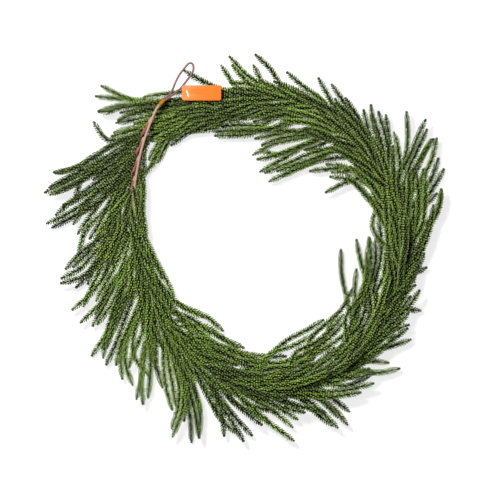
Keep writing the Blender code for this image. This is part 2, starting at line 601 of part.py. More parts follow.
def clear_cores(cores, resting, owners, twigs, stem):
    """The cores' points moved until every core clears the other sprays, the stem and the tag."""
    starts = np.cumsum([0] + [len(core) for core in cores])
    points = np.vstack(cores)
    behind, share, spray, radius = [], [], [], []
    for number, core in enumerate(cores):
        for index, (a, b) in enumerate(zip(core, core[1:])):
            count = max(int(round(float(np.linalg.norm(b - a)) / CLEAR_STEP)), 1)
            behind.extend([starts[number] + index] * count)
            share.extend((j + 0.5) / count for j in range(count))
            spray.extend([owners[number][0]] * count)
            radius.extend([CORE_RADIUS] * count)
    moving = len(behind)
    fixed = []
    for number, twig in enumerate(twigs):
        dense = line_points(twig, CLEAR_STEP)
        fixed.extend(dense)
        spray.extend([number] * len(dense))
        radius.extend([TWIG_RADIUS] * len(dense))
    for point in list(fixed_points(stem)) + line_points(stem.line, CLEAR_STEP):
        fixed.append(point)
        spray.append(-1)
        radius.append(STEM_RADIUS)
    behind, share = np.array(behind), np.array(share)[:, None]
    spray, radius, fixed = np.array(spray), np.array(radius), np.array(fixed)
    sides = [(number, owner[1]) for number, owner in enumerate(owners) if owner[1] >= 0]
    roots = [(starts[number], starts[host], *place_on(cores[host], cores[number][0]))
             for number, host in sides]
    free = np.ones((len(points), 3))
    free[starts[:-1]] = 0.0
    lowest = np.full(len(points), LOWEST_LINE)
    lowest[starts[:-1]] = 0.0
    for number, index in resting:
        free[starts[number] + index, 2] = 0.0
        lowest[starts[number] + index] = REST_HEIGHT
        lowest[starts[number] + index - 1] = REST_HEIGHT
    shift = np.zeros_like(points)
    start = points.copy()
    inner = np.ones(len(points), dtype=bool)
    inner[starts[:-1]] = False
    inner[starts[1:] - 1] = False
    inner = np.nonzero(inner)[0]
    for turn in range(CLEAR_TURNS):
        spots = points[behind] * (1.0 - share) + points[behind + 1] * share
        places = np.vstack((spots, fixed))
        if turn % CLEAR_LOOK == 0:
            first, second = near_pairs(places, 2.0 * CORE_RADIUS + CORE_GAP + CLEAR_MARGIN).T
            keep = (spray[first] != spray[second]) & (first < moving)
            first, second = first[keep], second[keep]
            wanted = radius[first] + radius[second] + CORE_GAP
        between = places[first] - places[second]
        between[second >= moving, 2] += PASS_OVER
        distance = np.maximum(np.linalg.norm(between, axis=1), 0.01)
        push = between * (np.maximum(wanted - distance, 0.0) / distance)[:, None]
        moves = np.zeros_like(points)
        for ends, pushes in ((first, push), (second[second < moving], -push[second < moving])):
            np.add.at(moves, behind[ends], pushes * (1.0 - share[ends]) * CLEAR_PUSH)
            np.add.at(moves, behind[ends] + 1, pushes * share[ends] * CLEAR_PUSH)
        shift += moves * free
        if turn < SPREAD_TURNS:
            own, beside = CLEAR_BLEND
            blend = own * shift[inner] + beside * (shift[inner - 1] + shift[inner + 1])
            shift[inner] = blend * free[inner]
        points = start + shift
        points[:, 2] = np.maximum(points[:, 2], lowest)
        for own, host, index, part in roots:
            points[own] = points[host + index] * (1.0 - part) + points[host + index + 1] * part
    return [points[a:b] for a, b in zip(starts, starts[1:])]


def layout():
    """The stem, the sprigs' cores, what each one grows from, and the twigs with their turns."""
    draw = random.Random(SEED)
    stem = Stem()
    stations, sprays = plan_sprigs(stem, draw)
    lines, owners, twigs, turns = lay_sprigs(stem, stations, sprays, draw)
    cores, resting = cut_cores(settle(lines, owners, stem), owners)
    return stem, clear_cores(cores, resting, owners, twigs, stem), owners, list(zip(twigs, turns))


def frames_along(line):
    """Two directions across the line at each of its points, with no twist between them."""
    steps = np.gradient(line, axis=0)
    steps = steps / np.linalg.norm(steps, axis=1)[:, None]
    across = np.cross(steps[0], (0.0, 0.0, 1.0))
    across = across / np.linalg.norm(across)
    sides = []
    for step in steps:
        across = across - step * float(across @ step)
        across = across / np.linalg.norm(across)
        sides.append(across)
    sides = np.array(sides)
    return steps, sides, np.cross(steps, sides)


class Neighbours:
    """All middle lines of the foliage and the stem, to keep needles out of the next piece."""

    def __init__(self, cores, stem):
        spots, self.piece, self.radius = [], [], []
        for piece, line in cores:
            dense = line_points(line, DENSE_STEP)
            spots.extend(dense)
            self.piece.extend([piece] * len(dense))
            self.radius.extend([0.0] * len(dense))
        for point in fixed_points(stem):
            spots.append(point)
            self.piece.append(-1)
            self.radius.append(STEM_RADIUS)
        for point in line_points(stem.line, DENSE_STEP):
            spots.append(point)
            self.piece.append(-1)
            self.radius.append(STEM_RADIUS)
        self.spots = spots
        self.tree = kdtree.KDTree(len(spots))
        for index, spot in enumerate(spots):
            self.tree.insert(spot, index)
        self.tree.balance()

    def room(self, spot, own):
        """How far the spot is from the nearest sprig, twig or stem that isn't its own."""
        found = self.tree.find_range(spot, NEEDLE_REACH + STEM_RADIUS + NEEDLE_LOOK)
        return min((distance - self.radius[index] for _, index, distance in found
                    if self.piece[index] != own), default=NO_NEIGHBOUR)


def line_points(line, step):
    """The line's points with others between them, about a step apart."""
    points = [line[0]]
    for a, b in zip(line, line[1:]):
        count = max(int(round(float(np.linalg.norm(b - a)) / step)), 1)
        points.extend(a + (b - a) * (i + 1) / count for i in range(count))
    return points


def sprig_body(line, own, neighbours):
    """A closed three-sided core with needles raised on its faces, a form that no primitive gives."""
    steps, sides, ups = frames_along(line)
    last = len(line) - 1
    body = bmesh.new()
    rings = []
    for i, point in enumerate(line):
        radius = CORE_RADIUS + (TIP_RADIUS - CORE_RADIUS) * max(i / last - 0.5, 0.0) * 2.0
        radius = ROOT_RADIUS if i == 0 else radius
        ring = []
        for k in range(3):
            angle = math.radians(120.0 * k + 60.0 * i)
            spot = point + (sides[i] * math.cos(angle) + ups[i] * math.sin(angle)) * radius
            ring.append(body.verts.new(Vector(spot) * MM))
        rings.append(ring)
    body.faces.new(reversed(rings[0]))
    body.faces.new(rings[-1])
    for i in range(last):
        for k in range(3):
            body.faces.new((rings[i][k], rings[i][(k + 1) % 3], rings[i + 1][k]))
            back, left, right = rings[i][(k + 1) % 3], rings[i + 1][(k + 1) % 3], rings[i + 1][k]
            angle = math.radians(120.0 * k + 60.0 * (i + 1) + 60.0)
            away = sides[i + 1] * math.cos(angle) + ups[i + 1] * math.sin(angle)
            reach = NEEDLE_REACH * (1.0 if i + 1 < last else LAST_NEEDLES)
            tip = None
            if i > 0 and (k + i) % 3 > (1 if i == 1 else 0):
                tip = needle_tip(line[i + 1], away, steps[i + 1], reach, own, neighbours)
            if tip is None:
                body.faces.new((back, left, right))
                continue
            middle = (left.co + right.co) / 2.0
            heel = body.verts.new(middle + (back.co - middle).normalized() * NEEDLE_BASE * MM)
            peak = body.verts.new(Vector(tip) * MM)
            body.faces.new((back, left, heel))
            body.faces.new((back, heel, right))
            for a, b in ((heel, left), (left, right), (right, heel)):
                body.faces.new((a, b, peak))
    bmesh.ops.recalc_face_normals(body, faces=body.faces)
    mesh = bpy.data.meshes.new("sprig")
    body.to_mesh(mesh)
    body.free()
    return mesh


def needle_tip(point, away, onward, reach, own, neighbours):
    """The tip's place, drawn in where it would come near another piece or the surface."""
    for _ in range(NEEDLE_TRIES):
        tip = point + away * reach + onward * NEEDLE_LEAN
        excess = max(reach + NEEDLE_CLEARANCE - neighbours.room(tip, own), NEEDLE_CLEARANCE - tip[2])
        if excess <= 0.0:
            return tip
        reach -= DRAW_IN[0] * excess + DRAW_IN[1]
        if reach < SHORTEST_NEEDLE:
            return None
    return None


def tube(name, points, radii, collection, resolution=1, tilt=0.0):
    """A closed bar along the points, round or square."""
    curve = bpy.data.curves.new(name, "CURVE")
    curve.dimensions = "3D"
    curve.twist_mode = "Z_UP"
    curve.bevel_depth = MM
    curve.bevel_resolution = resolution
    curve.use_fill_caps = True
    spline = curve.splines.new("POLY")
    spline.points.add(len(points) - 1)
    for knot, point, radius in zip(spline.points, points, radii):
        knot.co = (*(np.array(point) * MM), 1.0)
        knot.radius = radius
        knot.tilt = tilt
    thing = bpy.data.objects.new(name, curve)
    collection.objects.link(thing)
    return thing


def as_mesh(thing):
    """The curve's evaluated shape as a mesh object with its caps welded on."""
    bpy.context.view_layer.update()
    mesh = bpy.data.meshes.new_from_object(thing.evaluated_get(bpy.context.evaluated_depsgraph_get()))
    body = bmesh.new()
    body.from_mesh(mesh)
    bmesh.ops.remove_doubles(body, verts=body.verts, dist=WELD * MM)
    bmesh.ops.recalc_face_normals(body, faces=body.faces)
    body.to_mesh(mesh)
    body.free()
    solid = bpy.data.objects.new(thing.name, mesh)
    solid.matrix_world = thing.matrix_world
    collection = thing.users_collection[0]
    name = thing.name
    bpy.data.objects.remove(thing)
    solid.name = name
    collection.objects.link(solid)
    return solid


def coat(name, colour, roughness, metallic=0.0):
    """A plain material of that colour."""
    material = bpy.data.materials.new(name)
    material.use_nodes = True
    shader = material.node_tree.nodes["Principled BSDF"]
    shader.inputs["Base Color"].default_value = (*colour, 1.0)
    shader.inputs["Roughness"].default_value = roughness
    shader.inputs["Metallic"].default_value = metallic
    return material


def keep_one_body(mesh):
    """Drops all but the mesh's largest shell, so that no scrap or sealed hollow is left."""
    body = bmesh.new()
    body.from_mesh(mesh)
    waiting = set(body.verts)
    shells = []
    while waiting:
        shell, edge = set(), [waiting.pop()]
        while edge:
            vertex = edge.pop()
            shell.add(vertex)
            for link in vertex.link_edges:
                other = link.other_vert(vertex)
                if other in waiting:
                    waiting.remove(other)
                    edge.append(other)
        shells.append(shell)
    shells.sort(key=len)
    for scrap in shells[:-1]:
        bmesh.ops.delete(body, geom=list(scrap), context="VERTS")
    bmesh.ops.triangulate(body, faces=body.faces)
    body.to_mesh(mesh)
    body.free()


def join_and_apply(solid, tools):
    """Applies Boolean modifiers, given as the operation and an object or a collection each."""
    for operation, tool in tools:
        boolean = solid.modifiers.new(operation.title(), "BOOLEAN")
        boolean.operation = operation
        boolean.solver = "MANIFOLD"
        if isinstance(tool, bpy.types.Collection):
            boolean.operand_type = "COLLECTION"
            boolean.collection = tool
        else:
            boolean.object = tool
    bpy.context.view_layer.update()
    joined = bpy.data.meshes.new_from_object(solid.evaluated_get(bpy.context.evaluated_depsgraph_get()))
    solid.modifiers.clear()
    solid.data = joined
    keep_one_body(joined)


def make_ground(cutters):
    """The cutter that leaves a flat spot on every sprig that lies on the surface."""
    mesh = bpy.data.meshes.new("ground")
    body = bmesh.new()
    bmesh.ops.create_cube(body, size=1.0)
    bmesh.ops.scale(body, verts=body.verts, vec=(1.0, 1.0, GROUND_DEPTH))
    bmesh.ops.translate(body, verts=body.verts, vec=(0.0, 0.0, -GROUND_DEPTH / 2.0))
    body.to_mesh(mesh)
    body.free()
    ground = bpy.data.objects.new("ground", mesh)
    cutters.objects.link(ground)
    ground.hide_render = True
    ground.display_type = "WIRE"
    return ground


def make_sprays(stem, cores, owners, twigs, parts, cutters, material):
    """One fused solid for each spray: its twig and all its sprigs with their needles."""
    pieces = list(enumerate(cores))
    neighbours = Neighbours(pieces + [(len(cores) + i, twig) for i, (twig, _) in enumerate(twigs)], stem)
    workshop = bpy.data.collections.new("sprigs being joined")
    bpy.context.scene.collection.children.link(workshop)
    ground = make_ground(cutters)
    for i, (twig, turn) in enumerate(twigs):
        tilt = TWIG_TILT + turn
        spray = as_mesh(tube(f"spray_{i + 1:02d}", twig, [TWIG_RADIUS] * TWIG_POINTS, parts, 0, tilt))
        for number, core in enumerate(cores):
            if owners[number][0] == i:
                mesh = sprig_body(core, number, neighbours)
                workshop.objects.link(bpy.data.objects.new("sprig", mesh))
        join_and_apply(spray, (("UNION", workshop), ("DIFFERENCE", ground)))
        spray.data.materials.clear()
        spray.data.materials.append(material)
        for sprig in list(workshop.objects):
            bpy.data.objects.remove(sprig)
    bpy.data.collections.remove(workshop)


def make_stem(stem, parts, material):
    """The taped wire from the crimp, round the ring, to its tail under the leader."""
    points = list(STEM_END) + list(stem.bends)
    radii = [STEM_END_RADIUS] * len(STEM_END) + [STEM_RADIUS] * len(stem.bends)
    solid = as_mesh(tube("stem", points, radii, parts))
    smooth(solid)
    solid.data.materials.append(material)


def round_ended(half_length, radius, turns=6):
    """The outline of a bar with round ends, along X."""
    outline = []
    for middle, start in ((half_length, -90.0), (-half_length, 90.0)):
        for j in range(turns + 1):
            angle = math.radians(start + 180.0 * j / turns)
            outline.append((middle + radius * math.cos(angle), radius * math.sin(angle)))
    return outline


def rounded_box(length, width, corner, turns=4):
    """The outline of a rectangle with round corners."""
    outline = []
    for quarter, (x, y) in enumerate(((1, 1), (-1, 1), (-1, -1), (1, -1))):
        for j in range(turns + 1):
            angle = math.radians(90.0 * (quarter + j / turns))
            outline.append((x * (length / 2 - corner) + corner * math.cos(angle),
                            y * (width / 2 - corner) + corner * math.sin(angle)))
    return outline


def plate(name, outlines, thickness, collection):
    """A flat piece of that thickness: the first outline with the others cut out of it."""
    curve = bpy.data.curves.new(name, "CURVE")
    curve.dimensions = "2D"
    curve.fill_mode = "BOTH"
    curve.extrude = thickness / 2.0 * MM
    for outline in outlines:
        spline = curve.splines.new("POLY")
        spline.points.add(len(outline) - 1)
        for knot, (x, y) in zip(spline.points, outline):
            knot.co = (x * MM, y * MM, 0.0, 1.0)
        spline.use_cyclic_u = True
    thing = bpy.data.objects.new(name, curve)
    collection.objects.link(thing)
    return thing


def smooth(solid):
    """Shades the solid smooth but for its sharp edges."""
    solid.data.shade_smooth()
    solid.data.set_sharp_from_angle(angle=math.radians(SHARP_ANGLE))


def make_loop(parts, material):
    """The hanging loop's thin wire."""
    points = line_through(LOOP_ROUTE, LOOP_POINTS)
    solid = as_mesh(tube("hanging_loop", points, [LOOP_RADIUS] * LOOP_POINTS, parts))
    smooth(solid)
    solid.data.materials.append(material)


def make_crimp(parts, material):
    """The oval sleeve along its axis."""
    start, end = np.array(CRIMP_AXIS)
    onward = (end - start) / np.linalg.norm(end - start)
    inner = LOOP_RADIUS + CRIMP_CLEARANCE
    outlines = [round_ended(LEG_SPACING / 2.0, inner + CRIMP_WALL), round_ended(LEG_SPACING / 2.0, inner)]
    sleeve = plate("crimp", outlines, CRIMP_LENGTH, parts)
    across = Vector((onward[1], -onward[0], 0.0)).normalized()
    turn = Matrix((across, Vector((0.0, 0.0, 1.0)), across.cross(Vector((0.0, 0.0, 1.0))))).transposed()
    sleeve.matrix_world = Matrix.Translation(Vector((start + end) / 2.0) * MM) @ turn.to_4x4()
    solid = as_mesh(sleeve)
    smooth(solid)
    solid.data.materials.append(material)


def make_tag(parts, material):
    """The flat tag with round corners and the pin's hole."""
    hole_x = TAG_HOLE[0] - TAG_CENTRE[0]
    hole_y = TAG_HOLE[1] - TAG_CENTRE[1]
    hole = [(hole_x + x, hole_y + y) for x, y in round_ended(0.0, TAG_HOLE_RADIUS)]
    outlines = [rounded_box(TAG_SIZE[0], TAG_SIZE[1], TAG_CORNER), hole]
    tag = plate("hang_tag", outlines, TAG_SIZE[2], parts)
    tag.location = Vector(TAG_CENTRE) * MM
    solid = as_mesh(tag)
    smooth(solid)
    solid.data.materials.append(material)


def make_pin(parts, cutters, material):
    """The pin: a bar on the tag's face and a thread through the hole to a foot under the loop."""
    top = np.array(PIN_ROUTE[0])
    turn = math.radians(PIN_BAR_TURN)
    half = np.array((math.cos(turn), math.sin(turn), 0.0)) * PIN_BAR_LENGTH / 2.0
    bar = as_mesh(tube("tag_pin", [top - half, top, top + half], [PIN_BAR_RADIUS] * 3, parts, 2))
    thread = line_through(PIN_ROUTE, PIN_POINTS)
    thread = as_mesh(tube("thread", thread, [PIN_RADIUS] * PIN_POINTS, cutters, 1))
    join_and_apply(bar, (("UNION", thread),))
    bpy.data.objects.remove(thread)
    smooth(bar)
    bar.data.materials.clear()
    bar.data.materials.append(material)


def main():
    """Builds the garland."""
    for thing in list(bpy.data.objects):
        bpy.data.objects.remove(thing)
    parts = bpy.data.collections.new("Garland")
    cutters = bpy.data.collections.new("Cutters")
    bpy.context.scene.collection.children.link(parts)
    bpy.context.scene.collection.children.link(cutters)
    paper = coat("Pinkish paper tape", (0.55, 0.30, 0.23), 0.8)
    loop_paper = coat("Mauve paper tape", (0.36, 0.19, 0.17), 0.7)
    foliage = coat("Moulded green foliage", (0.045, 0.13, 0.02), 0.5)
    brass = coat("Brass crimp", (0.55, 0.27, 0.08), 0.35, 1.0)
    board = coat("Orange plastic board", (1.0, 0.23, 0.01), 0.45)
    nylon = coat("White nylon", (0.85, 0.85, 0.83), 0.4)
    stem, cores, owners, twigs = layout()
    make_stem(stem, parts, paper)
    make_loop(parts, loop_paper)
    make_crimp(parts, brass)
    make_tag(parts, board)
    make_pin(parts, cutters, nylon)
    make_sprays(stem, cores, owners, twigs, parts, cutters, foliage)


main()
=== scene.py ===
"""An artificial pine garland in an almost closed ring: its needled sprays, taped wire, crimp, tag and pin.

The sprigs follow the same rules and given tips as the solids that they replace, so each one
lies where its solid lies, and more sprigs are laid over them. Lengths in the layout are millimetres;
MM turns them to Blender's metres.
"""
import math
import random

import bpy
import numpy as np
from bpy.props import FloatProperty, FloatVectorProperty, IntProperty, PointerProperty
from mathutils import Matrix, Vector, kdtree


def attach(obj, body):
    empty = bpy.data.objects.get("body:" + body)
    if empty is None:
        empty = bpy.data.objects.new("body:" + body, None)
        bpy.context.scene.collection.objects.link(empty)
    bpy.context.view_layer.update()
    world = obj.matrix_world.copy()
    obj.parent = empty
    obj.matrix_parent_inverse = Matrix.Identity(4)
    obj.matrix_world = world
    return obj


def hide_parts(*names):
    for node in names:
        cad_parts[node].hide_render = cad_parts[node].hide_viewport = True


bl_info = {
    "name": "Pine Garland",
    "version": (1, 0, 0),
    "blender": (4, 5, 0),
    "location": "3D View > Sidebar > Garland",
    "description": "Builds an artificial pine garland with its hanging loop and blank tag",
    "category": "Add Mesh",
}

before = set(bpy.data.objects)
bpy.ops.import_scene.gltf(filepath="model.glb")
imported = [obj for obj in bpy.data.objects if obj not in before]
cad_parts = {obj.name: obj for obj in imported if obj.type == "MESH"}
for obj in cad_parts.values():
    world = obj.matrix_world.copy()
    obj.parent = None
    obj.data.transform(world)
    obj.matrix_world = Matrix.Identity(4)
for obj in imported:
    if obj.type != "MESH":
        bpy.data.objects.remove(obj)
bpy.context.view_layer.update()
BODY = "root"
MM = 0.001
SEED_OF_NEEDLES = 11
CURVE_STEPS = 24             # fine steps from one given point of a curve to the next
NO_NEIGHBOUR = 99.0          # distance that stands for nothing near
LEAST_DISTANCE = 0.01        # between two points, so that there is a way from one to the other
READ_SHORT = 1.001           # keeps a place on a line short of its last point

# Hanging loop: a thin taped wire, both of its ends in the crimp
LOOP_RADIUS = 1.6
LOOP_POINTS = 29
LOOP_TAPE = 0.3              # thickness of its tape outside the crimp
LOOP_BARE = 6                # rings at each end without it, and as many over which it thickens
LOOP_RINGS = 180
LOOP_RIDGE = 0.7             # of its tape's laps against the stem's
LOOP_ROUTE = (               # from one end, round the eye, to the other
    (-145.2, 260.1, 54.0), (-140.8, 265.1, 54.0), (-136.0, 268.6, 53.5),
    (-122.4, 279.0, 52.5), (-113.4, 286.2, 51.5), (-107.0, 294.6, 50.5), (-95.8, 309.6, 49.5),
    (-91.6, 317.0, 49.0), (-90.7, 325.8, 48.5), (-94.8, 332.4, 48.5), (-101.4, 329.0, 48.5),
    (-107.6, 321.4, 49.0), (-115.6, 311.0, 50.0), (-121.6, 299.6, 51.0), (-129.8, 280.6, 52.5),
    (-136.2, 272.6, 53.5), (-143.6, 267.7, 54.0), (-148.1, 262.8, 54.0),
)

# Stem: the taped wire that carries the sprays
STEM_RADIUS = 2.25
STEM_POINT_STEP = 26.0
STEM_READ_STEP = 1.0         # between the points by which places on it are found
STEM_WAY_POINTS = 6          # of those points, looked at on each side for the stem's direction
STEM_ROUGH_POINTS = 400      # to measure its length
STEM_END = ((-147.1, 261.0, 54.0), (-151.6, 256.1, 54.1))   # its first points, in the crimp
STEM_END_RADIUS = 1.75
STEM_THICKENS = (5.0, 10.0)  # from its end to where it starts to, and over what length
LEADER_ROUTE = (             # on from the crimp, round the ring to the tail's end under the leader
    (-156.8, 249.4, 54.5), (-164.4, 232.2, 55.0), (-172.4, 212.4, 54.0), (-181.0, 187.2, 51.0),
    (-187.2, 163.8, 47.0), (-191.9, 140.4, 43.0), (-195.7, 117.0, 39.0), (-199.6, 86.4, 35.0),
    (-198.9, 57.6, 32.0), (-192.6, 18.0, 30.0), (-181.8, -25.0, 28.0), (-169.2, -63.0, 28.0),
    (-144.0, -126.0, 28.0), (-106.0, -180.0, 28.0), (-57.6, -223.0, 28.0), (2.0, -250.0, 28.0),
    (65.0, -257.0, 28.0), (128.0, -243.0, 28.0), (182.0, -211.0, 28.0), (227.0, -162.0, 28.0),
    (259.0, -103.0, 28.0), (277.0, -40.0, 28.0), (279.0, 23.0, 28.0), (265.0, 79.0, 28.0),
    (239.0, 151.0, 28.0), (198.0, 205.0, 28.0), (124.0, 250.0, 28.0), (74.0, 264.0, 26.0),
    (25.0, 268.0, 22.0), (-29.0, 259.0, 19.0), (-88.0, 245.0, 17.0),
)

# Crimp: an oval brass sleeve round both ends of the loop and the stem's end
CRIMP_AXIS = ((-142.2, 266.4, 54.0), (-151.2, 256.5, 54.0))
CRIMP_LENGTH = 14.0
CRIMP_WALL = 0.6
CRIMP_CLEARANCE = 0.4
LEG_SPACING = 3.7            # between the loop's legs in it
CRIMP_SIDES = 36
CRIMP_RINGS = 13
CRIMP_WAIST = 3.0            # how soon its outline runs from the flats into the round ends
CRIMP_DENTS = 3.0            # that the pliers left along it
CRIMP_LIP = 0.45             # from its middle to the flared lip, as a share of its length
CRIMP_FLARE = 0.12
INNER_DENT = 0.6             # depth of a dent on the inside against the outside
SEAM_WIDTH = 0.35
SEAM_DEPTH = 0.3
CRIMP_SHARP = math.radians(50.0)   # the least turn between faces that shows as an edge

# Tag: it lies on the loop's right leg, held to that leg by a pin through its hole
TAG_SIZE = (70.0, 27.0, 0.9)
TAG_CORNER = 4.0
TAG_CENTRE = (-76.0, 278.0, 53.37)
TAG_HOLE_RADIUS = 2.2
TAG_HOLE = (-101.0, 276.5)
TAG_HOLE_POINTS = 24
TAG_CORNER_STEPS = 8
TAG_EDGE_STEPS = 3
TAG_WELD = 0.01
TAG_SHARP = math.radians(40.0)
TAG_SHEEN = (8.0, 26.0)       # from its left end, where the painted sheen on that end fades
PIN_RADIUS = 0.6
PIN_BAR_RADIUS = 1.1
PIN_BAR_LENGTH = 13.0
PIN_BAR_TURN = -72.0         # degrees, of the bar on the tag's face
PIN_ROUTE = (                # from the bar down through the hole and along under the loop's leg
    (-101.0, 276.5, 55.22), (-101.0, 276.5, 52.0), (-102.4, 277.4, 49.7), (-106.5, 280.6, 49.0),
    (-111.0, 284.4, 49.1), (-115.8, 284.3, 49.5), (-119.6, 281.2, 49.9),
)
PIN_POINTS = 14
PIN_BAR_RINGS = 21
PIN_BAR_SIDES = 16
PIN_BAR_TIP = 0.02           # least share, squared, of its radius at its round ends
PIN_RINGS = 60
PIN_SIDES = 10

# Sprays: a taped twig with the sprigs that start from it
SPRAY_SPACING = 36.0
FIRST_SPRAY = 22.0           # past the crimp
TWIG_RADIUS = 1.9
TWIG_LENGTH = 34.0
TWIG_POINTS = 3
TWIG_RINGS = 18
TWIG_SIDES = 10
TWIG_RIDGE = 0.3
TWIG_TILT = math.radians(45.0)   # sets a flat side of the solid's square twig against the stem
TWIG_COURSE = ((0.0, 0.0), (0.4, 0.8), (1.0, 7.0))   # share along it, how far off its seat there
TWIG_TURN = 35.0             # degrees above or below the level, in turn
SEAT_GAP = 0.48
MAIN_SPRIGS = 4              # start from the twig
SPRIGS_FROM = 0.45           # share of the twig before its first sprig
SPRIGS_OVER = 0.5            # share of the twig over which its sprigs start
SPRIGS_A_SPRAY = 5           # with those that start from another sprig
SPRIG_LENGTH = (125.0, 168.0)
SPRIG_REACH_BACK = 158.0     # length of a sprig whose tip is given
CORE_RADIUS = 1.7
SIDE_APART = (13.0, 19.0)    # between a side sprig and its host
SIDE_LIFT = (-12.0, 14.0)    # of a side sprig's tip above its host
SIDE_END = (-2.5, 0.5)       # its tip past the host's, in points of the host's line
SIDE_COURSE = ((0.2, 0.65), (0.5, 1.0), (1.0, 1.0))   # share along it, share of the way apart
JOINTS = (3, 5, 4)           # points of the host's line where side sprigs start
CORE_STEP = 40.0             # between the core's points
LEAST_CORE_STEPS = 3
CORE_GAP = 1.1               # between the cores of two sprays, or a core and the stem

# Resting spots: on every so many sprays one sprig lies on the surface and is flat there
REST_EVERY = 5
REST_FIRST = 2
REST_FROM = 2                # the first of a core's points that may lie there
REST_HEIGHT = 1.0            # of the sprig's middle line
REST_COMES_DOWN = 0.6        # share of its height that the point before keeps

# Course of the sprigs: the way each one takes from its twig to its tip
LINE_POINTS = 16
ROOT_STEPS = 100             # equal steps of a twig at which a sprig can start
MAIN_COURSE = (0.35, 0.7, 1.0)   # shares along a sprig where its course is set
ASIDE_BEND = 0.72            # below 1: it leaves the stem early and then runs on beside it
ALONG_RING = 0.75            # share of the ring's own bow that it follows
RISE_BEND = 1.3
GIVEN_RISE_BEND = 0.8
WAVER = 3.0                  # up or down, at random
LEAST_RUN = 0.4              # least way along the stem, as a share of its length
LEAST_HIDDEN = 30.0          # of a sprig whose tip is given, in the foliage
LEAST_BACK = 0.9             # least way back along the stem, as a share of its way aside
SPOTS_ACROSS = 25            # across the foliage, among which a tip finds its place
DOME_EDGE = 20.0             # height of the foliage at its edges
DOME_RISE = 52.0             # and how much higher it is over the stem
LOWEST_TIP = 10.0

# Foliage: how near to each other the sprigs lie
SPRIG_SPACING = 11.0
STEM_SPACING = 8.5
SETTLE_TURNS = 150
SETTLE_LOOK = 10             # turns after which the neighbours are looked for again
SETTLE_MARGIN = 5.0          # how much farther than the spacing they are looked for
SETTLE_PUSH = 0.3            # share of the missing distance made up in a turn
SETTLE_BLEND = 0.5           # share of a point's shift that is its own, the rest its neighbours'
MAIN_HELD = 1.0              # points at a main sprig's root that don't shift
MAIN_LOOSENS = 4.0           # and those over which it comes free
SIDE_LOOSENS = 3.0
GIVEN_FREEDOM = 0.35         # of a sprig with a given tip to shift sideways
FREEDOM = 0.8                # and of the others
RECALL = 0.016               # share of its shift that a held sprig loses in a turn
TOP_PRESS = 0.2              # share of what stands over the top that is taken back in a turn
CLEAR_TURNS = 130
CLEAR_LOOK = 6
CLEAR_MARGIN = 3.0
CLEAR_PUSH = 0.5
CLEAR_BLEND = (0.7, 0.15)    # share of a point's shift that is its own, and each neighbour's
SPREAD_TURNS = 50            # for so long each push also moves the points beside it
CLEAR_STEP = 4.0
PASS_OVER = 0.5              # favours the way over a twig or the stem where a sprig crosses it
LOWEST_LINE = 6.4
TOP_OF_FOLIAGE = 76.0
SAME_PLACE = 55.0            # sprig tips this near to each other along the stem share its width
TOGETHER = 9.0               # points of one spray that start nearer than this stay as they grow
LEADER_BARE = 150.0          # no foliage lies on the leader before this
TAIL_START = 1260.0          # from here on the sprigs run on under the leader
SEED = 7

# Points that the sprigs keep away from
STEM_GUARD_STEP = 6.0
LOOP_GUARDS = 40
PIN_GUARDS = 8
TAG_GUARDS = (9, 4)          # along it and across it

# Width of the foliage: distance along the stem from the crimp, reach to the ring's inside and outside
FOLIAGE_WIDTH = (
    (0.0, 34.0, 60.0), (120.0, 22.0, 84.0), (200.0, 14.0, 82.0), (330.0, 18.0, 92.0),
    (450.0, 40.0, 90.0), (560.0, 50.0, 84.0), (700.0, 54.0, 64.0), (850.0, 50.0, 70.0),
    (980.0, 52.0, 48.0), (1080.0, 30.0, 70.0), (1200.0, 62.0, 76.0), (1330.0, 84.0, 44.0),
    (1450.0, 56.0, 30.0), (1600.0, 30.0, 26.0),
)

# Sprigs that stand out of the foliage, each from its tip inward along its middle line
TAIL_SPRIGS = (
    ((-256, 292), (-223, 277), (-184, 261)), ((-266, 274), (-209, 268)),
    ((-261, 247), (-238, 245), (-212, 258)), ((-207, 245), (-180, 257)), ((-225, 230), (-196, 243)),
    ((-169, 162), (-157, 185), (-139, 209), (-106, 227)),
    ((-187, 176), (-169, 198), (-146, 218), (-106, 239)),
    ((-130, 198), (-112, 216), (-79, 230), (-34, 239)),
    ((-155, 157), (-144, 180), (-130, 198), (-100, 218)),
    ((-187, 126), (-169, 135), (-160, 158), (-155, 186)),
    ((-133, 193), (-115, 211), (-88, 218), (-50, 222)),
    ((-95, 211), (-79, 214), (-58, 227), (-20, 236)), ((-106, 319), (-70, 297), (-34, 281)),
)
LEFT_SPRIGS = (
    ((-270, 225), (-254, 205), (-233, 190)), ((-342, 137), (-313, 140), (-277, 162), (-241, 182)),
    ((-358, 101), (-304, 126), (-241, 158)), ((-347, 97), (-304, 117), (-243, 146)),
    ((-304, 90), (-295, 117), (-276, 142)), ((-270, 124), (-236, 146)),
    ((-338, 61), (-313, 83), (-280, 107)), ((-353, 45), (-304, 68), (-259, 104)),
    ((-346, 38), (-299, 62), (-255, 92)), ((-295, 61), (-252, 92)),
    ((-299, 27), (-281, 50), (-258, 84)), ((-299, -11), (-295, 14), (-272, 48)),
    ((-308, -32), (-286, -13), (-262, 22)), ((-328, -54), (-304, -43), (-278, -18)),
    ((-328, -63), (-299, -56), (-268, -30)), ((-302, -70), (-288, -56), (-262, -26)),
    ((-308, -110), (-290, -94), (-262, -66)), ((-293, -133), (-274, -117), (-252, -90)),
    ((-272, -139), (-256, -110)), ((-263, -136), (-243, -108)),
    ((-274, -193), (-259, -171), (-238, -138)), ((-257, -180), (-243, -158), (-226, -128)),
    ((-248, -209), (-235, -183)), ((-230, -209), (-224, -180)),
    ((-220, -234), (-224, -204), (-212, -160)), ((-202, -245), (-212, -216), (-214, -178)),
)
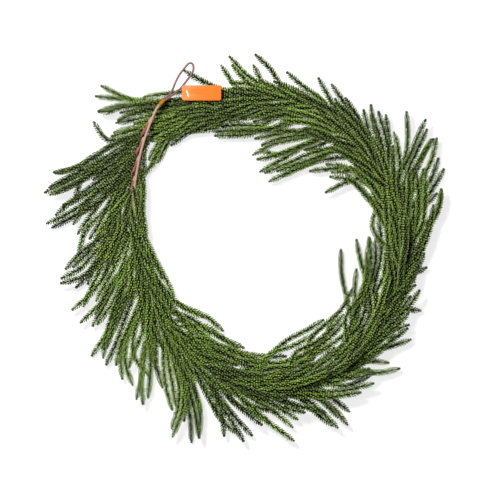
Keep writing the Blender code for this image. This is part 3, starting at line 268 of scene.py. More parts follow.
LEFT_INNER_SPRIGS = (
    ((-185, 29), (-189, 72)), ((-151, -43), (-164, -13), (-180, 20)),
    ((-137, -97), (-153, -68), (-170, -30)), ((-56, -175), (-79, -157), (-115, -126), (-142, -94)),
    ((-14, -223), (-43, -205), (-70, -175), (-101, -133)),
    ((20, -203), (-11, -187), (-52, -175), (-86, -151)),
    ((-34, -214), (-61, -196), (-88, -166), (-115, -121)),
    ((56, -216), (20, -214), (-22, -205), (-65, -187)),
)
BOTTOM_SPRIGS = (
    ((-193, -270), (-185, -247), (-180, -205)), ((-182, -279), (-182, -247), (-186, -210)),
    ((-173, -268), (-167, -247), (-170, -205)), ((-171, -229), (-187, -205), (-203, -176)),
    ((-148, -250), (-155, -223), (-166, -188)), ((-130, -290), (-137, -265), (-144, -225)),
    ((-128, -338), (-115, -306), (-108, -262)), ((-130, -324), (-120, -296), (-114, -255)),
    ((-108, -310), (-104, -270)), ((-95, -349), (-97, -310), (-104, -262)),
    ((-81, -338), (-77, -313), (-88, -268)), ((-77, -293), (-88, -258)),
    ((-36, -337), (-40, -306), (-54, -264)), ((-2, -346), (-20, -315), (-44, -278)),
    ((13, -337), (-11, -311), (-36, -280)), ((88, -346), (70, -333), (25, -301), (-20, -276)),
    ((54, -293), (16, -284)), ((95, -308), (62, -288)), ((86, -322), (58, -298)),
    ((108, -295), (72, -276)), ((167, -322), (146, -301), (108, -268)),
    ((157, -319), (128, -295), (92, -266)), ((185, -317), (164, -295), (136, -266)),
    ((189, -295), (155, -266), (114, -246)), ((144, -270), (106, -256)), ((142, -252), (100, -238)),
    ((221, -234), (191, -247), (146, -243)), ((193, -234), (150, -222)),
)
BOTTOM_INNER_SPRIGS = (
    ((-40, -149), (-58, -127), (-79, -122), (-119, -100)), ((-4, -182), (-34, -167), (-70, -142)),
    ((43, -205), (11, -198), (-29, -184), (-70, -162)),
    ((74, -196), (43, -196), (2, -194), (-40, -184)), ((122, -158), (92, -175), (46, -192)),
    ((142, -131), (110, -150), (62, -178)), ((164, -122), (158, -144), (136, -172)),
)
RIGHT_INNER_SPRIGS = (
    ((175, -5), (175, -40), (184, -79), (190, -115)), ((203, 13), (207, -14), (221, -58)),
    ((203, -40), (198, -70), (202, -105)), ((227, 16), (223, -18), (220, -56)),
    ((245, 112), (239, 68), (234, 22)), ((223, -25), (220, -58), (205, -94), (182, -130)),
    ((238, 14), (238, -25), (227, -67), (205, -108)), ((245, 59), (248, 14), (245, -36), (230, -79)),
    ((194, -76), (182, -103), (155, -133), (122, -157)),
    ((180, -121), (157, -148), (128, -171), (92, -189)),
    ((205, -130), (180, -157), (148, -180), (110, -202)), ((252, 104), (257, 59), (259, 5), (252, -43)),
)
RIGHT_SPRIGS = (
    ((279, -218), (236, -225), (188, -220)), ((259, -207), (214, -206)),
    ((299, -166), (272, -176), (226, -184)), ((295, -139), (264, -150), (234, -166)),
    ((283, -128), (252, -142)), ((317, -113), (290, -112), (256, -122)),
    ((308, -68), (281, -83), (252, -106)), ((328, -36), (302, -49), (278, -70)),
    ((324, -11), (311, -34), (292, -62)), ((328, 31), (319, 0), (302, -36)),
    ((356, 101), (355, 77), (338, 56), (314, 30)), ((347, 97), (326, 74), (302, 48)),
    ((351, 160), (344, 133), (322, 102)), ((347, 196), (340, 164), (322, 128)),
    ((337, 194), (322, 164), (306, 128)), ((329, 212), (316, 184), (298, 148)),
    ((326, 229), (314, 205), (300, 168)), ((293, 243), (295, 203), (290, 160)),
    ((256, 238), (260, 206)), ((229, 256), (232, 221), (246, 180)), ((216, 247), (222, 218)),
    ((207, 238), (212, 208)),
)
TOP_SPRIGS = (
    ((135, 304), (146, 280), (166, 250)), ((90, 284), (106, 264)), ((79, 315), (106, 292), (144, 264)),
    ((22, 347), (40, 333), (61, 299), (86, 268)), ((18, 328), (29, 306), (50, 278)),
    ((-25, 344), (-7, 324), (26, 295)), ((-40, 328), (-22, 306), (-2, 276)),
)
TOP_INNER_SPRIGS = (
    ((-31, 212), (11, 212), (58, 219)), ((-79, 218), (-43, 220), (2, 223), (47, 227)),
    ((-54, 216), (-11, 214), (32, 216), (83, 221)), ((-22, 211), (22, 211), (65, 212), (110, 212)),
    ((22, 198), (50, 203), (92, 211)), ((18, 169), (40, 184), (83, 194), (128, 203)),
    ((31, 175), (41, 163), (70, 171), (110, 186)), ((31, 139), (56, 152), (88, 172), (122, 192)),
    ((40, 137), (65, 142), (101, 164)), ((74, 131), (97, 146), (130, 156), (170, 164)),
    ((121, 139), (150, 141), (184, 142)), ((151, 151), (182, 149)), ((157, 128), (190, 124)),
    ((149, 101), (169, 107), (186, 121), (210, 130)), ((211, 119), (238, 112)),
)
STANDING_SPRIGS = (
    TAIL_SPRIGS + LEFT_SPRIGS + LEFT_INNER_SPRIGS + BOTTOM_SPRIGS + BOTTOM_INNER_SPRIGS
    + RIGHT_INNER_SPRIGS + RIGHT_SPRIGS + TOP_SPRIGS + TOP_INNER_SPRIGS
)
STANDING_TIP_HEIGHT = (9.0, 34.0)

# Needles, as far as they are not settings
BARE_ROOT = 7.0              # of a main sprig, before its first needles
BARE_SIDE_ROOT = 3.0
LAST_RING = 1.5              # least distance from the last ring of needles to the sprig's end
GROWN_AFTER = 24.0           # from the first needles to the longest ones
EASES_OVER = 14.0            # the needles grow shorter over the sprig's last stretch
ROOT_SHARE = 0.6             # length of the first and the last needles against the longest
END_SHARE = 0.58
ROOT_LEAN = math.radians(42.0)   # of a needle from the sprig's line, at its foot and at its tip
TIP_LEAN = math.radians(28.0)
END_LEAN = 0.45              # lean of the last needles against the others'
PLACE_STRAY = 0.3            # of a needle along the sprig
TURN_STRAY = 0.14            # and round it, of the way to the next one
SIZE_STRAY = (0.9, 1.08)
END_NEEDLES = 6              # close the sprig's blunt end
CLOSING_BACK = 0.8           # how far before the end they start
CLOSING_TURN = 0.25
CLOSING_LEAN = 0.22
RING_TURN = 0.382            # of the way to the next needle, from ring to ring
FOOT_SUNK = 0.5              # share of the core's radius at which a needle's foot lies
THIN_SHARE = 0.55            # least width of a needle against the longest ones'
NEEDLE_SECTION = ((0.5, -0.3), (0.0, 0.55), (-0.5, -0.3))   # of its width, ridge outward
NEEDLE_WAIST = 0.8           # where along the needle it bends and is widest
NEEDLE_PLACES = (0.0, NEEDLE_WAIST, NEEDLE_WAIST, NEEDLE_WAIST, 1.0)   # along it, point by point
NEEDLE_FACES = (             # on its foot 0, its waist 1 to 3 and its tip 4
    (0, 2, 1), (1, 2, 4), (0, 3, 2), (2, 3, 4), (0, 1, 3), (3, 1, 4),
)
NEEDLE_TONES = 0.6           # how far a needle's green may stray from its sprig's: partly its own tone, partly painted light and shade for its angle to the light
DARK_END = 13.0              # the sprig's last stretch is darker
SPRAY_TONES = (-0.1, 0.8)    # of a spray, and how far its sprigs stray from it
SPRIG_TONES = (-0.25, 0.35)
MIDDLE_TONE = 0.5            # of what is not foliage

# Cores that carry the needles, and the taped root before them
CORE_SIDES = 5
CORE_RING_STEP = 9.0
CORE_END = (0.45, 30.0)      # its radius at the end against its greatest, and over what length
CORE_ROOT = (0.6, 20.0)      # and at the root
ROOT_TAPE_PAST = 3           # points by which the tape goes on under the first needles
ROOT_TAPER = 0.55
ROOT_LAP = 0.6               # between its laps, against the twig's
ROOT_RIDGE = 0.2
ROOT_SIDES = 8

# What keeps the needles off the wires and the tag
GUARD_STEP = 1.5
GUARD_LOOP_POINTS = 120
GUARD_GAP = 0.5
TAG_PRESSES = 9.0            # how high above the tag a needle is still pressed down by it
TAG_GAP = 0.3                # under it

# Wound tape
WIRE_SIDES = 14
WIRE_RING_STEP = 2.2
BINDING_REACH = (-4.0, 6.0)     # of the tape over a twig's start, along the stem
BINDING_RINGS = 11
BINDING_TURNS = 2.2
BINDING_THICKNESS = 0.12
BINDING_SWELL = 0.2          # over both wires
BINDING_SHARE = 0.8          # of the way out to the twig that its oval takes in
BINDING_RIDGE = 0.08

# Sprigs laid over the stem, which the solids leave out
COVER_FROM = 90.0            # along the stem; it lies bare before
COVER_LENGTH = (85.0, 145.0)
COVER_WAYS = (               # side against the twig's own, least and greatest share of the foliage's reach
    (-1.0, 0.25, 0.65), (1.0, 0.35, 0.75), (-1.0, 0.05, 0.3),
)
COVER_FIRST = 0.4            # share of the twig where the first one starts
COVER_NEXT = 0.25            # and from there to the next
COVER_COURSE = (0.25, 0.6, 1.0)   # shares along it where its course is set
TWIG_STEPS = 20              # equal steps of a twig at which one can start
COVER_BOW = (0.9, 0.45)      # how far it follows the ring, to the inside and to the outside
COVER_RISE = 8.0
COVER_SPACING = 10.0
COVER_TURNS = 60
COVER_LOOSENS = 4.0          # points at its root over which it comes free
COVER_ROOT = 3               # points at its root that may stand as high as the foliage
STILL_STEP = 6.0             # between the points of what is there already
COVER_LIFT = 1.6             # favours the way up where a covering sprig meets another
UNDER_LEADER = 8.5           # below the leader's middle line where that lies bare
UNDER_REACH = 14.0           # from that line
BARE_BEFORE = 10.0           # how far before the crimp it is read from
BARE_STEP = 4.0
BARE_LOOP_POINTS = 60
BY_TAG = 8.0                 # the sprigs lie as low beside the tag
SEED_OF_COVERS = 5
COVER_FREEDOM = 0.3          # share of the missing distance made up in a turn
EXTRA_FREEDOM = 0.12         # and by the sprigs whose course is given
EXTRA_HEIGHT = (16.0, 34.0)
EXTRA_ROOT = 15              # of the twig's steps, where they start
EXTRA_SPRIGS = (             # more that show in the photograph, each from its tip inward
    ((-178, 273), (-150, 277), (-115, 281), (-70, 281)), ((-20, 328), (-2, 304), (26, 280)),
    ((-259, 246), (-236, 247), (-205, 255)), ((-337, 135), (-300, 146), (-262, 166), (-238, 184)),
    ((-336, 100), (-300, 118), (-262, 144), (-214, 178)), ((-322, 76), (-286, 102), (-240, 134)),
    ((-277, 18), (-262, 40), (-240, 82), (-222, 118)),
    ((-238, -6), (-226, 30), (-212, 70), (-203, 104)),
    ((-281, -63), (-267, -31), (-250, 2), (-236, 30)),
    ((-263, -94), (-250, -66), (-236, -38), (-218, 0)), ((-247, -176), (-240, -150), (-228, -118)),
    ((-206, -212), (-200, -190), (-186, -160), (-176, -128)),
    ((-121, -282), (-128, -248), (-137, -206), (-140, -170)),
    ((-74, -124), (-100, -112), (-124, -96), (-150, -66)),
    ((-13, -180), (-40, -164), (-68, -150), (-100, -128)),
    ((18, -208), (-10, -198), (-40, -186), (-70, -168)),
    ((118, -186), (94, -200), (62, -208), (24, -212)), ((100, -212), (70, -214), (36, -218)),
    ((124, -196), (100, -208), (70, -220)), ((178, -136), (164, -152), (142, -172), (116, -190)),
    ((221, -92), (216, -116), (204, -142), (184, -166)),
    ((271, 206), (276, 184), (278, 150), (272, 110)), ((34, 186), (58, 196), (92, 204), (130, 210)),
    ((-24, 228), (8, 232), (44, 236)), ((26, 160), (48, 164), (80, 176), (116, 190)),
    ((62, 140), (88, 148), (120, 160), (150, 172)), ((112, 180), (138, 188), (168, 196)),
    ((160, 138), (182, 138), (206, 140)), ((-168, 150), (-158, 170), (-144, 196), (-118, 222)),
    ((-262, 120), (-236, 140), (-212, 172), (-194, 198)),
    ((-240, 60), (-222, 96), (-207, 132), (-197, 160)),
    ((-226, 20), (-214, 60), (-206, 100), (-199, 130)),
    ((-230, 96), (-208, 130), (-192, 166), (-182, 196)),
    ((-205, 90), (-196, 128), (-188, 164), (-178, 196)),
    ((-288, -103), (-268, -58), (-245, -13), (-223, 23)),
    ((-254, -196), (-248, -160), (-236, -110), (-214, -60)),
    ((-349, 110), (-313, 126), (-277, 142), (-241, 160)),
    ((-81, -340), (-86, -301), (-94, -259), (-104, -211)),
    ((344, 193), (322, 162), (299, 122), (277, 77)), ((225, 18), (229, -18), (225, -58), (214, -92)),
    ((355, 104), (349, 77), (331, 41), (310, 0)), ((133, -187), (83, -205), (32, -223), (-11, -223)),
    ((155, -175), (110, -202), (65, -227), (20, -238)),
    ((101, -223), (56, -238), (11, -241), (-32, -227)), ((25, -212), (-11, -205), (-47, -187)),
    ((-95, 211), (-77, 216), (-56, 227), (-16, 245)),
)
TAIL_EXTRAS = (0, 2, 28)     # of them, those that grow from the tail's end

# Attribute that holds, point by point, the tone, the place along a needle or a lap, and the sprig's end
GROWTH = "growth"

# Looks of the needles
TONE_PATCH = 14.0            # width of the patches in a spray's green
TONE_SPREAD = 0.6
FOOT_SHADE_FADE = (0.42, 0.78)     # along a needle, from the dark foot, which is painted shade, to its own green
TIP_HIGHLIGHT_FADE = (0.7, 1.0)        # and on to the pale tip, which is a painted highlight
TIP_HIGHLIGHT_STRENGTH = 0.85
END_STRENGTH = 0.75          # of the olive at the sprig's end

# Stage, in metres apart from the first three
VIEW_CENTRE = (10.8, -3.6)   # what lies at the photograph's middle, pixel (250, 250)
VIEW_HEIGHT = 32.0           # the height at which a pixel is 1.8 mm
FLOOR_DROP = -0.3            # of the floor under the lowest needles
CAMERA_REACH = 100.0
LAMPS = (                    # name, setting of its power, size, place
    ("key light", "key_power", 0.4, (-0.75, 0.95, 2.35)),
    ("fill light", "fill_power", 1.6, (1.6, -1.0, 1.8)),
)


def linear(code):
    """An sRGB hex value as linear red, green, blue."""
    shares = [int(code[i:i + 2], 16) / 255.0 for i in (1, 3, 5)]
    return tuple(c / 12.92 if c <= 0.04045 else ((c + 0.055) / 1.055) ** 2.4 for c in shares)


def ease(share):
    """From 0 to 1 with level ends."""
    share = np.clip(share, 0.0, 1.0)
    return share * share * (3.0 - 2.0 * share)


def swelling(least, distance, over):
    """From the least share up to one, over a distance."""
    return least + (1.0 - least) * ease(distance / over)


def step_lengths(line):
    """The lengths of the line's steps."""
    return np.linalg.norm(np.diff(line, axis=0), axis=1)


def distances(line):
    """How far along the line each of its points lies."""
    return np.concatenate(([0.0], np.cumsum(step_lengths(line))))


def read_at(places, along, values):
    """Values that are given along a line, read at other places on it."""
    return np.stack([np.interp(places, along, values[:, axis]) for axis in range(3)], axis=1)


def line_through(points, count):
    """A smooth line through the points, read at so many equal steps."""
    knots = np.array(points, dtype=float)
    ends = np.vstack((2 * knots[0] - knots[1], knots, 2 * knots[-1] - knots[-2]))
    fine = []
    for i in range(1, len(ends) - 2):
        before, here, there, after = ends[i - 1:i + 3]
        for t in np.linspace(0.0, 1.0, CURVE_STEPS, endpoint=False):
            fine.append(0.5 * (2 * here + (there - before) * t
                               + (2 * before - 5 * here + 4 * there - after) * t ** 2
                               + (3 * here - before - 3 * there + after) * t ** 3))
    fine = np.array(fine + [knots[-1]])
    along = distances(fine)
    return read_at(np.linspace(0.0, along[-1], count), along, fine)


def line_points(line, step):
    """The line's points with others between them, about a step apart."""
    points = [line[0]]
    for a, b in zip(line, line[1:]):
        count = max(int(round(float(np.linalg.norm(b - a)) / step)), 1)
        points.extend(a + (b - a) * (i + 1) / count for i in range(count))
    return points


def frames_along(line):
    """Two directions across the line at each of its points, with no twist between them."""
    steps = np.gradient(line, axis=0)
    steps = steps / np.linalg.norm(steps, axis=1)[:, None]
    across = np.cross(steps[0], (0.0, 0.0, 1.0))
    across = across / np.linalg.norm(across)
    sides = []
    for step in steps:
        across = across - step * float(across @ step)
        across = across / np.linalg.norm(across)
        sides.append(across)
    sides = np.array(sides)
    return steps, sides, np.cross(steps, sides)


def tree_of(points):
    """A tree that finds the points near a spot."""
    tree = kdtree.KDTree(len(points))
    for index, point in enumerate(points):
        tree.insert(point, index)
    tree.balance()
    return tree


class Stem:
    """The leader's middle line, read by the distance along it from the crimp."""

    def __init__(self):
        rough = line_through(LEADER_ROUTE, STEM_ROUGH_POINTS)
        length = float(step_lengths(rough).sum())
        self.bends = line_through(LEADER_ROUTE, int(length / STEM_POINT_STEP) + 1)
        self.line = np.array(line_points(self.bends, STEM_READ_STEP))
        self.length = float(step_lengths(self.line).sum())
        self.step = self.length / (len(self.line) - 1)

    def at(self, along):
        """The point there, the way on, and the level way to the ring's outside."""
        place = min(max(along / self.step, 0.0), len(self.line) - READ_SHORT)
        first = int(place)
        point = self.line[first] + (self.line[first + 1] - self.line[first]) * (place - first)
        back = self.line[max(first - STEM_WAY_POINTS, 0)]
        onward = self.line[min(first + STEM_WAY_POINTS, len(self.line) - 1)] - back
        onward = onward / np.linalg.norm(onward)
        outward = np.array((onward[1], -onward[0], 0.0))
        point = point + onward * (along - min(max(along, 0.0), self.length))
        return point, onward, outward / np.linalg.norm(outward)

    def nearest(self, spot, start=0.0):
        """How far along the stem the spot lies, past the start, and how far to its outside."""
        first = int(start / self.step)
        level = np.hypot(self.line[first:, 0] - spot[0], self.line[first:, 1] - spot[1])
        along = float(first + np.argmin(level)) * self.step
        point, _, outward = self.at(along)
        return along, float((spot[0] - point[0]) * outward[0] + (spot[1] - point[1]) * outward[1])


def foliage_reach(along):
    """How far the foliage reaches to the ring's inside and outside there."""
    table = np.array(FOLIAGE_WIDTH)
    return [float(np.interp(along, table[:, 0], table[:, column])) for column in (1, 2)]


def over_tag(x, y, margin):
    """True for the spots that lie over the tag or within a margin of it."""
    return ((abs(x - TAG_CENTRE[0]) < TAG_SIZE[0] / 2.0 + margin)
            & (abs(y - TAG_CENTRE[1]) < TAG_SIZE[1] / 2.0 + margin))


def given_start(stem, given, past):
    """Where along the stem a sprig with given points starts, by the length that it hides."""
    along, aside = stem.nearest(given[-1], past)
    shown = sum(math.dist(a, b) for a, b in zip(given, given[1:]))
    hidden = max(SPRIG_REACH_BACK - shown, LEAST_HIDDEN)
    return along - math.sqrt(max(hidden ** 2 - aside ** 2, (LEAST_BACK * aside) ** 2))


def given_line(root, given, height):
    """A sprig from its root through the given points, its tip so high."""
    spots = [np.array(spot, dtype=float) for spot in given[::-1]]
    reach = np.cumsum([np.linalg.norm(b - a) for a, b in zip([root[:2]] + spots, spots)])
    knots = [np.append(spot, root[2] + (height - root[2]) * (far / reach[-1]) ** GIVEN_RISE_BEND)
             for spot, far in zip(spots, reach)]
    return line_through([root] + knots, LINE_POINTS)


def plan_sprigs(stem, draw):
    """Where each spray starts along the stem, and what its main sprigs are to do."""
    count = int((stem.length - FIRST_SPRAY) / SPRAY_SPACING) + 1
    stations = [FIRST_SPRAY + i * SPRAY_SPACING for i in range(count)]
    sprays = [[] for _ in stations]
    for given in STANDING_SPRIGS:
        past = TAIL_START if given in TAIL_SPRIGS else 0.0
        start = given_start(stem, given, past)
        tip_along, tip_aside = stem.nearest(given[0], past)
        best = min(range(count), key=lambda i: abs(stations[i] + TWIG_LENGTH / 2 - start))
        sprays[best].append({"given": given, "height": draw.uniform(*STANDING_TIP_HEIGHT),
                             "tip_along": tip_along, "aside": tip_aside})
    for i, station in enumerate(stations):
        for _ in range(max(MAIN_SPRIGS - len(sprays[i]), 1)):
            length = draw.uniform(*SPRIG_LENGTH)
            near = [other["aside"] for spray in sprays for other in spray
                    if abs(other["tip_along"] - station - length) < SAME_PLACE]
            inside, outside = foliage_reach(station + length)
            spots = np.linspace(-inside, outside, SPOTS_ACROSS)
            room = [min((abs(spot - aside) for aside in near), default=NO_NEIGHBOUR) for spot in spots]
            aside = float(spots[int(np.argmax(room))])
            share = aside / (outside if aside > 0.0 else inside)
            dome = DOME_EDGE + DOME_RISE * math.sqrt(max(1.0 - share * share, 0.0))
            under_leader = station < LEADER_BARE or station > TAIL_START
            height = draw.uniform(LOWEST_TIP, STANDING_TIP_HEIGHT[1] if under_leader else dome)
            sprays[i].append({"length": length, "height": height,
                              "tip_along": station + length, "aside": aside})
    return stations, sprays


def lay_twig(stem, station, spray):
    """The taped twig: it starts on the stem, on the spray's own side, and eases away."""
    side = 1.0 if sum(sprig["aside"] for sprig in spray) > 0.0 else -1.0
    upward = station >= LEADER_BARE and int(station / SPRAY_SPACING) % 2
    turn = math.radians(TWIG_TURN if upward else -TWIG_TURN)
    seat = STEM_RADIUS + SEAT_GAP + TWIG_RADIUS * math.cos(TWIG_TILT)
    knots = []
    for share, off in TWIG_COURSE:
        point, _, outward = stem.at(station + share * TWIG_LENGTH)
        away = outward * side * math.cos(turn) + np.array((0.0, 0.0, math.sin(turn)))
        knots.append(point + away * (seat + off))
    return line_through(knots, TWIG_POINTS)


def main_line(stem, station, twig, share, sprig, draw):
    """A main sprig: from its place on the twig through its given points, or along the ring."""
    root = line_through(twig, ROOT_STEPS + 1)[int(share * ROOT_STEPS)]
    if "given" in sprig:
        return given_line(root, sprig["given"], sprig["height"])
    knots = [root]
    start = station + share * TWIG_LENGTH
    length, aside = sprig["length"], sprig["aside"]
    run = math.sqrt(max(length ** 2 - aside ** 2, (LEAST_RUN * length) ** 2))
    straight, onward, side = stem.at(start)
    for share in MAIN_COURSE:
        point, _, outward = stem.at(start + run * share)
        bowed = point + outward * aside * share ** ASIDE_BEND
        level = straight + onward * run * share + side * aside * share
        spot = ALONG_RING * bowed + (1.0 - ALONG_RING) * level
        rise = math.sin(share * math.pi / 2.0) ** RISE_BEND
        spot[2] = root[2] + (sprig["height"] - root[2]) * rise + draw.uniform(-WAVER, WAVER)
        knots.append(spot)
    return line_through(knots, LINE_POINTS)


def side_line(host, joint, side, draw):
    """A side sprig: it leaves its host at the joint and runs on beside it."""
    apart = side * draw.uniform(*SIDE_APART)
    lift = draw.uniform(*SIDE_LIFT)
    last = len(host) - 1
    end = last + draw.uniform(*SIDE_END)
    knots = [host[joint]]
    for share, spread in SIDE_COURSE:
        place = joint + (end - joint) * share
        low = min(int(place), last - 1)
        step = host[low + 1] - host[low]
        across = np.array((-step[1], step[0], 0.0)) / max(math.hypot(step[0], step[1]), LEAST_DISTANCE)
        spot = host[low] + step * (place - low) + across * apart * spread
        spot[2] = max(spot[2] + lift * share, LOWEST_LINE)
        knots.append(spot)
    return line_through(knots, LINE_POINTS)


def lay_sprigs(stem, stations, sprays, draw):
    """The twigs, and each sprig's middle line with its spray, host, joint and freedom to shift."""
    lines, owners, twigs = [], [], []
    side = 1
    for i, station in enumerate(stations):
        twigs.append(lay_twig(stem, station, sprays[i]))
        hosts = []
        for number, sprig in enumerate(sprays[i]):
            share = SPRIGS_FROM + SPRIGS_OVER * (number + 0.5) / len(sprays[i])
            hosts.append(len(lines))
            lines.append(main_line(stem, station, twigs[i], share, sprig, draw))
            owners.append((i, -1, 0, GIVEN_FREEDOM if "given" in sprig else FREEDOM))
        for number in range(max(SPRIGS_A_SPRAY - len(hosts), 0)):
            host = hosts[(number + i) % len(hosts)]
            joint = JOINTS[(number + i) % len(JOINTS)]
            side = -side
            lines.append(side_line(lines[host], joint, side, draw))
            owners.append((i, host, joint, FREEDOM))
    return np.array(lines), owners, twigs


def fixed_points(stem):
    """Points that the sprigs keep away from: the stem, its loop, the tag and its pin."""
    points = [stem.at(along)[0] for along in np.arange(0.0, stem.length, STEM_GUARD_STEP)]
    points.extend(line_through(LOOP_ROUTE, LOOP_GUARDS))
    points.extend(line_through(PIN_ROUTE, PIN_GUARDS))
    length, width, _ = TAG_SIZE
    for x in np.linspace(-length / 2, length / 2, TAG_GUARDS[0]):
        for y in np.linspace(-width / 2, width / 2, TAG_GUARDS[1]):
            points.append(np.array(TAG_CENTRE) + np.array((x, y, 0.0)))
    return np.array(points)


def near_pairs(points, reach):
    """Index pairs of points that lie within reach of each other."""
    tree = tree_of(points)
    pairs = []
    for index, point in enumerate(points):
        pairs.extend((index, other) for _, other, _ in tree.find_range(point, reach) if other > index)
    return np.array(pairs)


def pushed_off(points, first, second, wanted, lift=0.0):
    """How far each first point is to move off its second one, where the two are too near."""
    between = points[first] - points[second]
    between[:, 2] += lift
    distance = np.maximum(np.linalg.norm(between, axis=1), LEAST_DISTANCE)
    return between * (np.maximum(wanted - distance, 0.0) / distance)[:, None]


def moves_apart(points, first, second, wanted, lift=0.0):
    """The sum of the pushes at every point, when both points of each pair move."""
    push = pushed_off(points, first, second, wanted, lift)
    moves = np.zeros_like(points)
    np.add.at(moves, first, push)
    np.add.at(moves, second, -push)
    return moves


def even_out(shift):
    """Blends each point's shift with those of the points beside it."""
    beside = 0.5 * (1.0 - SETTLE_BLEND) * (shift[:, :-2] + shift[:, 2:])
    shift[:, 1:-1] = SETTLE_BLEND * shift[:, 1:-1] + beside


def settle(lines, owners, stem):
    """The sprigs pushed apart until they lie beside and on each other, with their roots held."""
    count, steps, _ = lines.shape
    fixed = fixed_points(stem)
    sprays, hosts, joints, free = (np.array(column) for column in zip(*owners))
    owner = np.concatenate((np.repeat(np.arange(count), steps), np.full(len(fixed), -1)))
    spray = np.append(sprays, -1)[owner]
    sides = np.nonzero(hosts >= 0)[0]
    loose = np.tile(np.clip((np.arange(steps) - MAIN_HELD) / MAIN_LOOSENS, 0.0, 1.0), (count, 1))
    loose[sides] = np.clip(np.arange(steps) / SIDE_LOOSENS, 0.0, 1.0)
    level = free[:, None] * loose
    freedom = np.stack((level, level, loose), axis=2) * SETTLE_PUSH
    recall = 1.0 - RECALL * (1.0 - free)[:, None, None]
    start = np.vstack((lines.reshape(-1, 3), fixed))
    shift = np.zeros_like(lines)
    for turn in range(SETTLE_TURNS):
        points = np.vstack(((lines + shift).reshape(-1, 3), fixed))
        if turn % SETTLE_LOOK == 0:
            first, second = near_pairs(points, SPRIG_SPACING + SETTLE_MARGIN).T
            apart_at_first = np.linalg.norm(start[first] - start[second], axis=1)
            grown_together = (spray[first] == spray[second]) & (apart_at_first < TOGETHER)
            keep = (owner[first] != owner[second]) & ~grown_together
            first, second = first[keep], second[keep]
            wanted = np.where(owner[second] < 0, STEM_SPACING, SPRIG_SPACING)
        moves = moves_apart(points, first, second, wanted)
        shift += moves[:count * steps].reshape(lines.shape) * freedom
        shift[sides, 0] = shift[hosts[sides], joints[sides]]
        even_out(shift)
        shift[:, :, 2] -= np.maximum(lines[:, :, 2] + shift[:, :, 2] - TOP_OF_FOLIAGE, 0.0) * TOP_PRESS
        shift[:, :, 2] = np.maximum(shift[:, :, 2], LOWEST_LINE - lines[:, :, 2])
        shift[:, :, :2] *= recall
        shift[hosts < 0, :2] = 0.0
        shift[sides, 0] = shift[hosts[sides], joints[sides]]
    return lines + shift


def place_on(core, spot):
    """Where on the core the spot lies nearest: the point behind it and the share on to the next."""
    nearest = []
    for index, (a, b) in enumerate(zip(core, core[1:])):
        share = min(max(float((spot - a) @ (b - a)) / float((b - a) @ (b - a)), 0.0), 1.0)
        nearest.append((float(np.linalg.norm(a + (b - a) * share - spot)), index, share))
    return min(nearest)[1:]


def cut_cores(lines, owners):
    """Each sprig's core as a few points, one sprig of some sprays lowered to lie on the surface."""
    cores = []
    for line in lines:
        steps = int(round(float(step_lengths(line).sum()) / CORE_STEP))
        cores.append(line_through(line, max(steps, LEAST_CORE_STEPS) + 1))
    resting = []
    for spray in range(REST_FIRST, owners[-1][0] + 1, REST_EVERY):
        choice = [(core[i][2] + core[i + 1][2], number, i) for number, core in enumerate(cores)
                  if owners[number][0] == spray and owners[number][1] < 0
                  for i in range(REST_FROM, len(core) - 1)]
        _, number, i = min(choice)
        cores[number][i:i + 2, 2] = REST_HEIGHT
        cores[number][i - 1, 2] = REST_COMES_DOWN * cores[number][i - 1, 2]
        resting.extend(((number, i), (number, i + 1)))
    return cores, resting


def spots_to_clear(cores, starts, owners, twigs, stem):
    """Spots on the cores, and the fixed spots that they have to clear.

    A spot on a core is given by the point behind it and the share on to the next. Spots of both kinds
    have the number of their spray, or -1, and their radius.
    """
    moving = []
    for start, core, owner in zip(starts, cores, owners):
        for index, step in enumerate(step_lengths(core)):
            count = max(int(round(float(step) / CLEAR_STEP)), 1)
            moving += [(start + index, (j + 0.5) / count, owner[0], CORE_RADIUS) for j in range(count)]
    fixed = [(spot, number, TWIG_RADIUS) for number, twig in enumerate(twigs)
             for spot in line_points(twig, CLEAR_STEP)]
    fixed += [(spot, -1, STEM_RADIUS)
              for spot in [*fixed_points(stem), *line_points(stem.line, CLEAR_STEP)]]
    behind, share, sprays, radii = zip(*moving)
    still, more_sprays, more_radii = zip(*fixed)
    return (np.array(behind), np.array(share)[:, None], np.array(still),
            np.array(sprays + more_sprays), np.array(radii + more_radii))


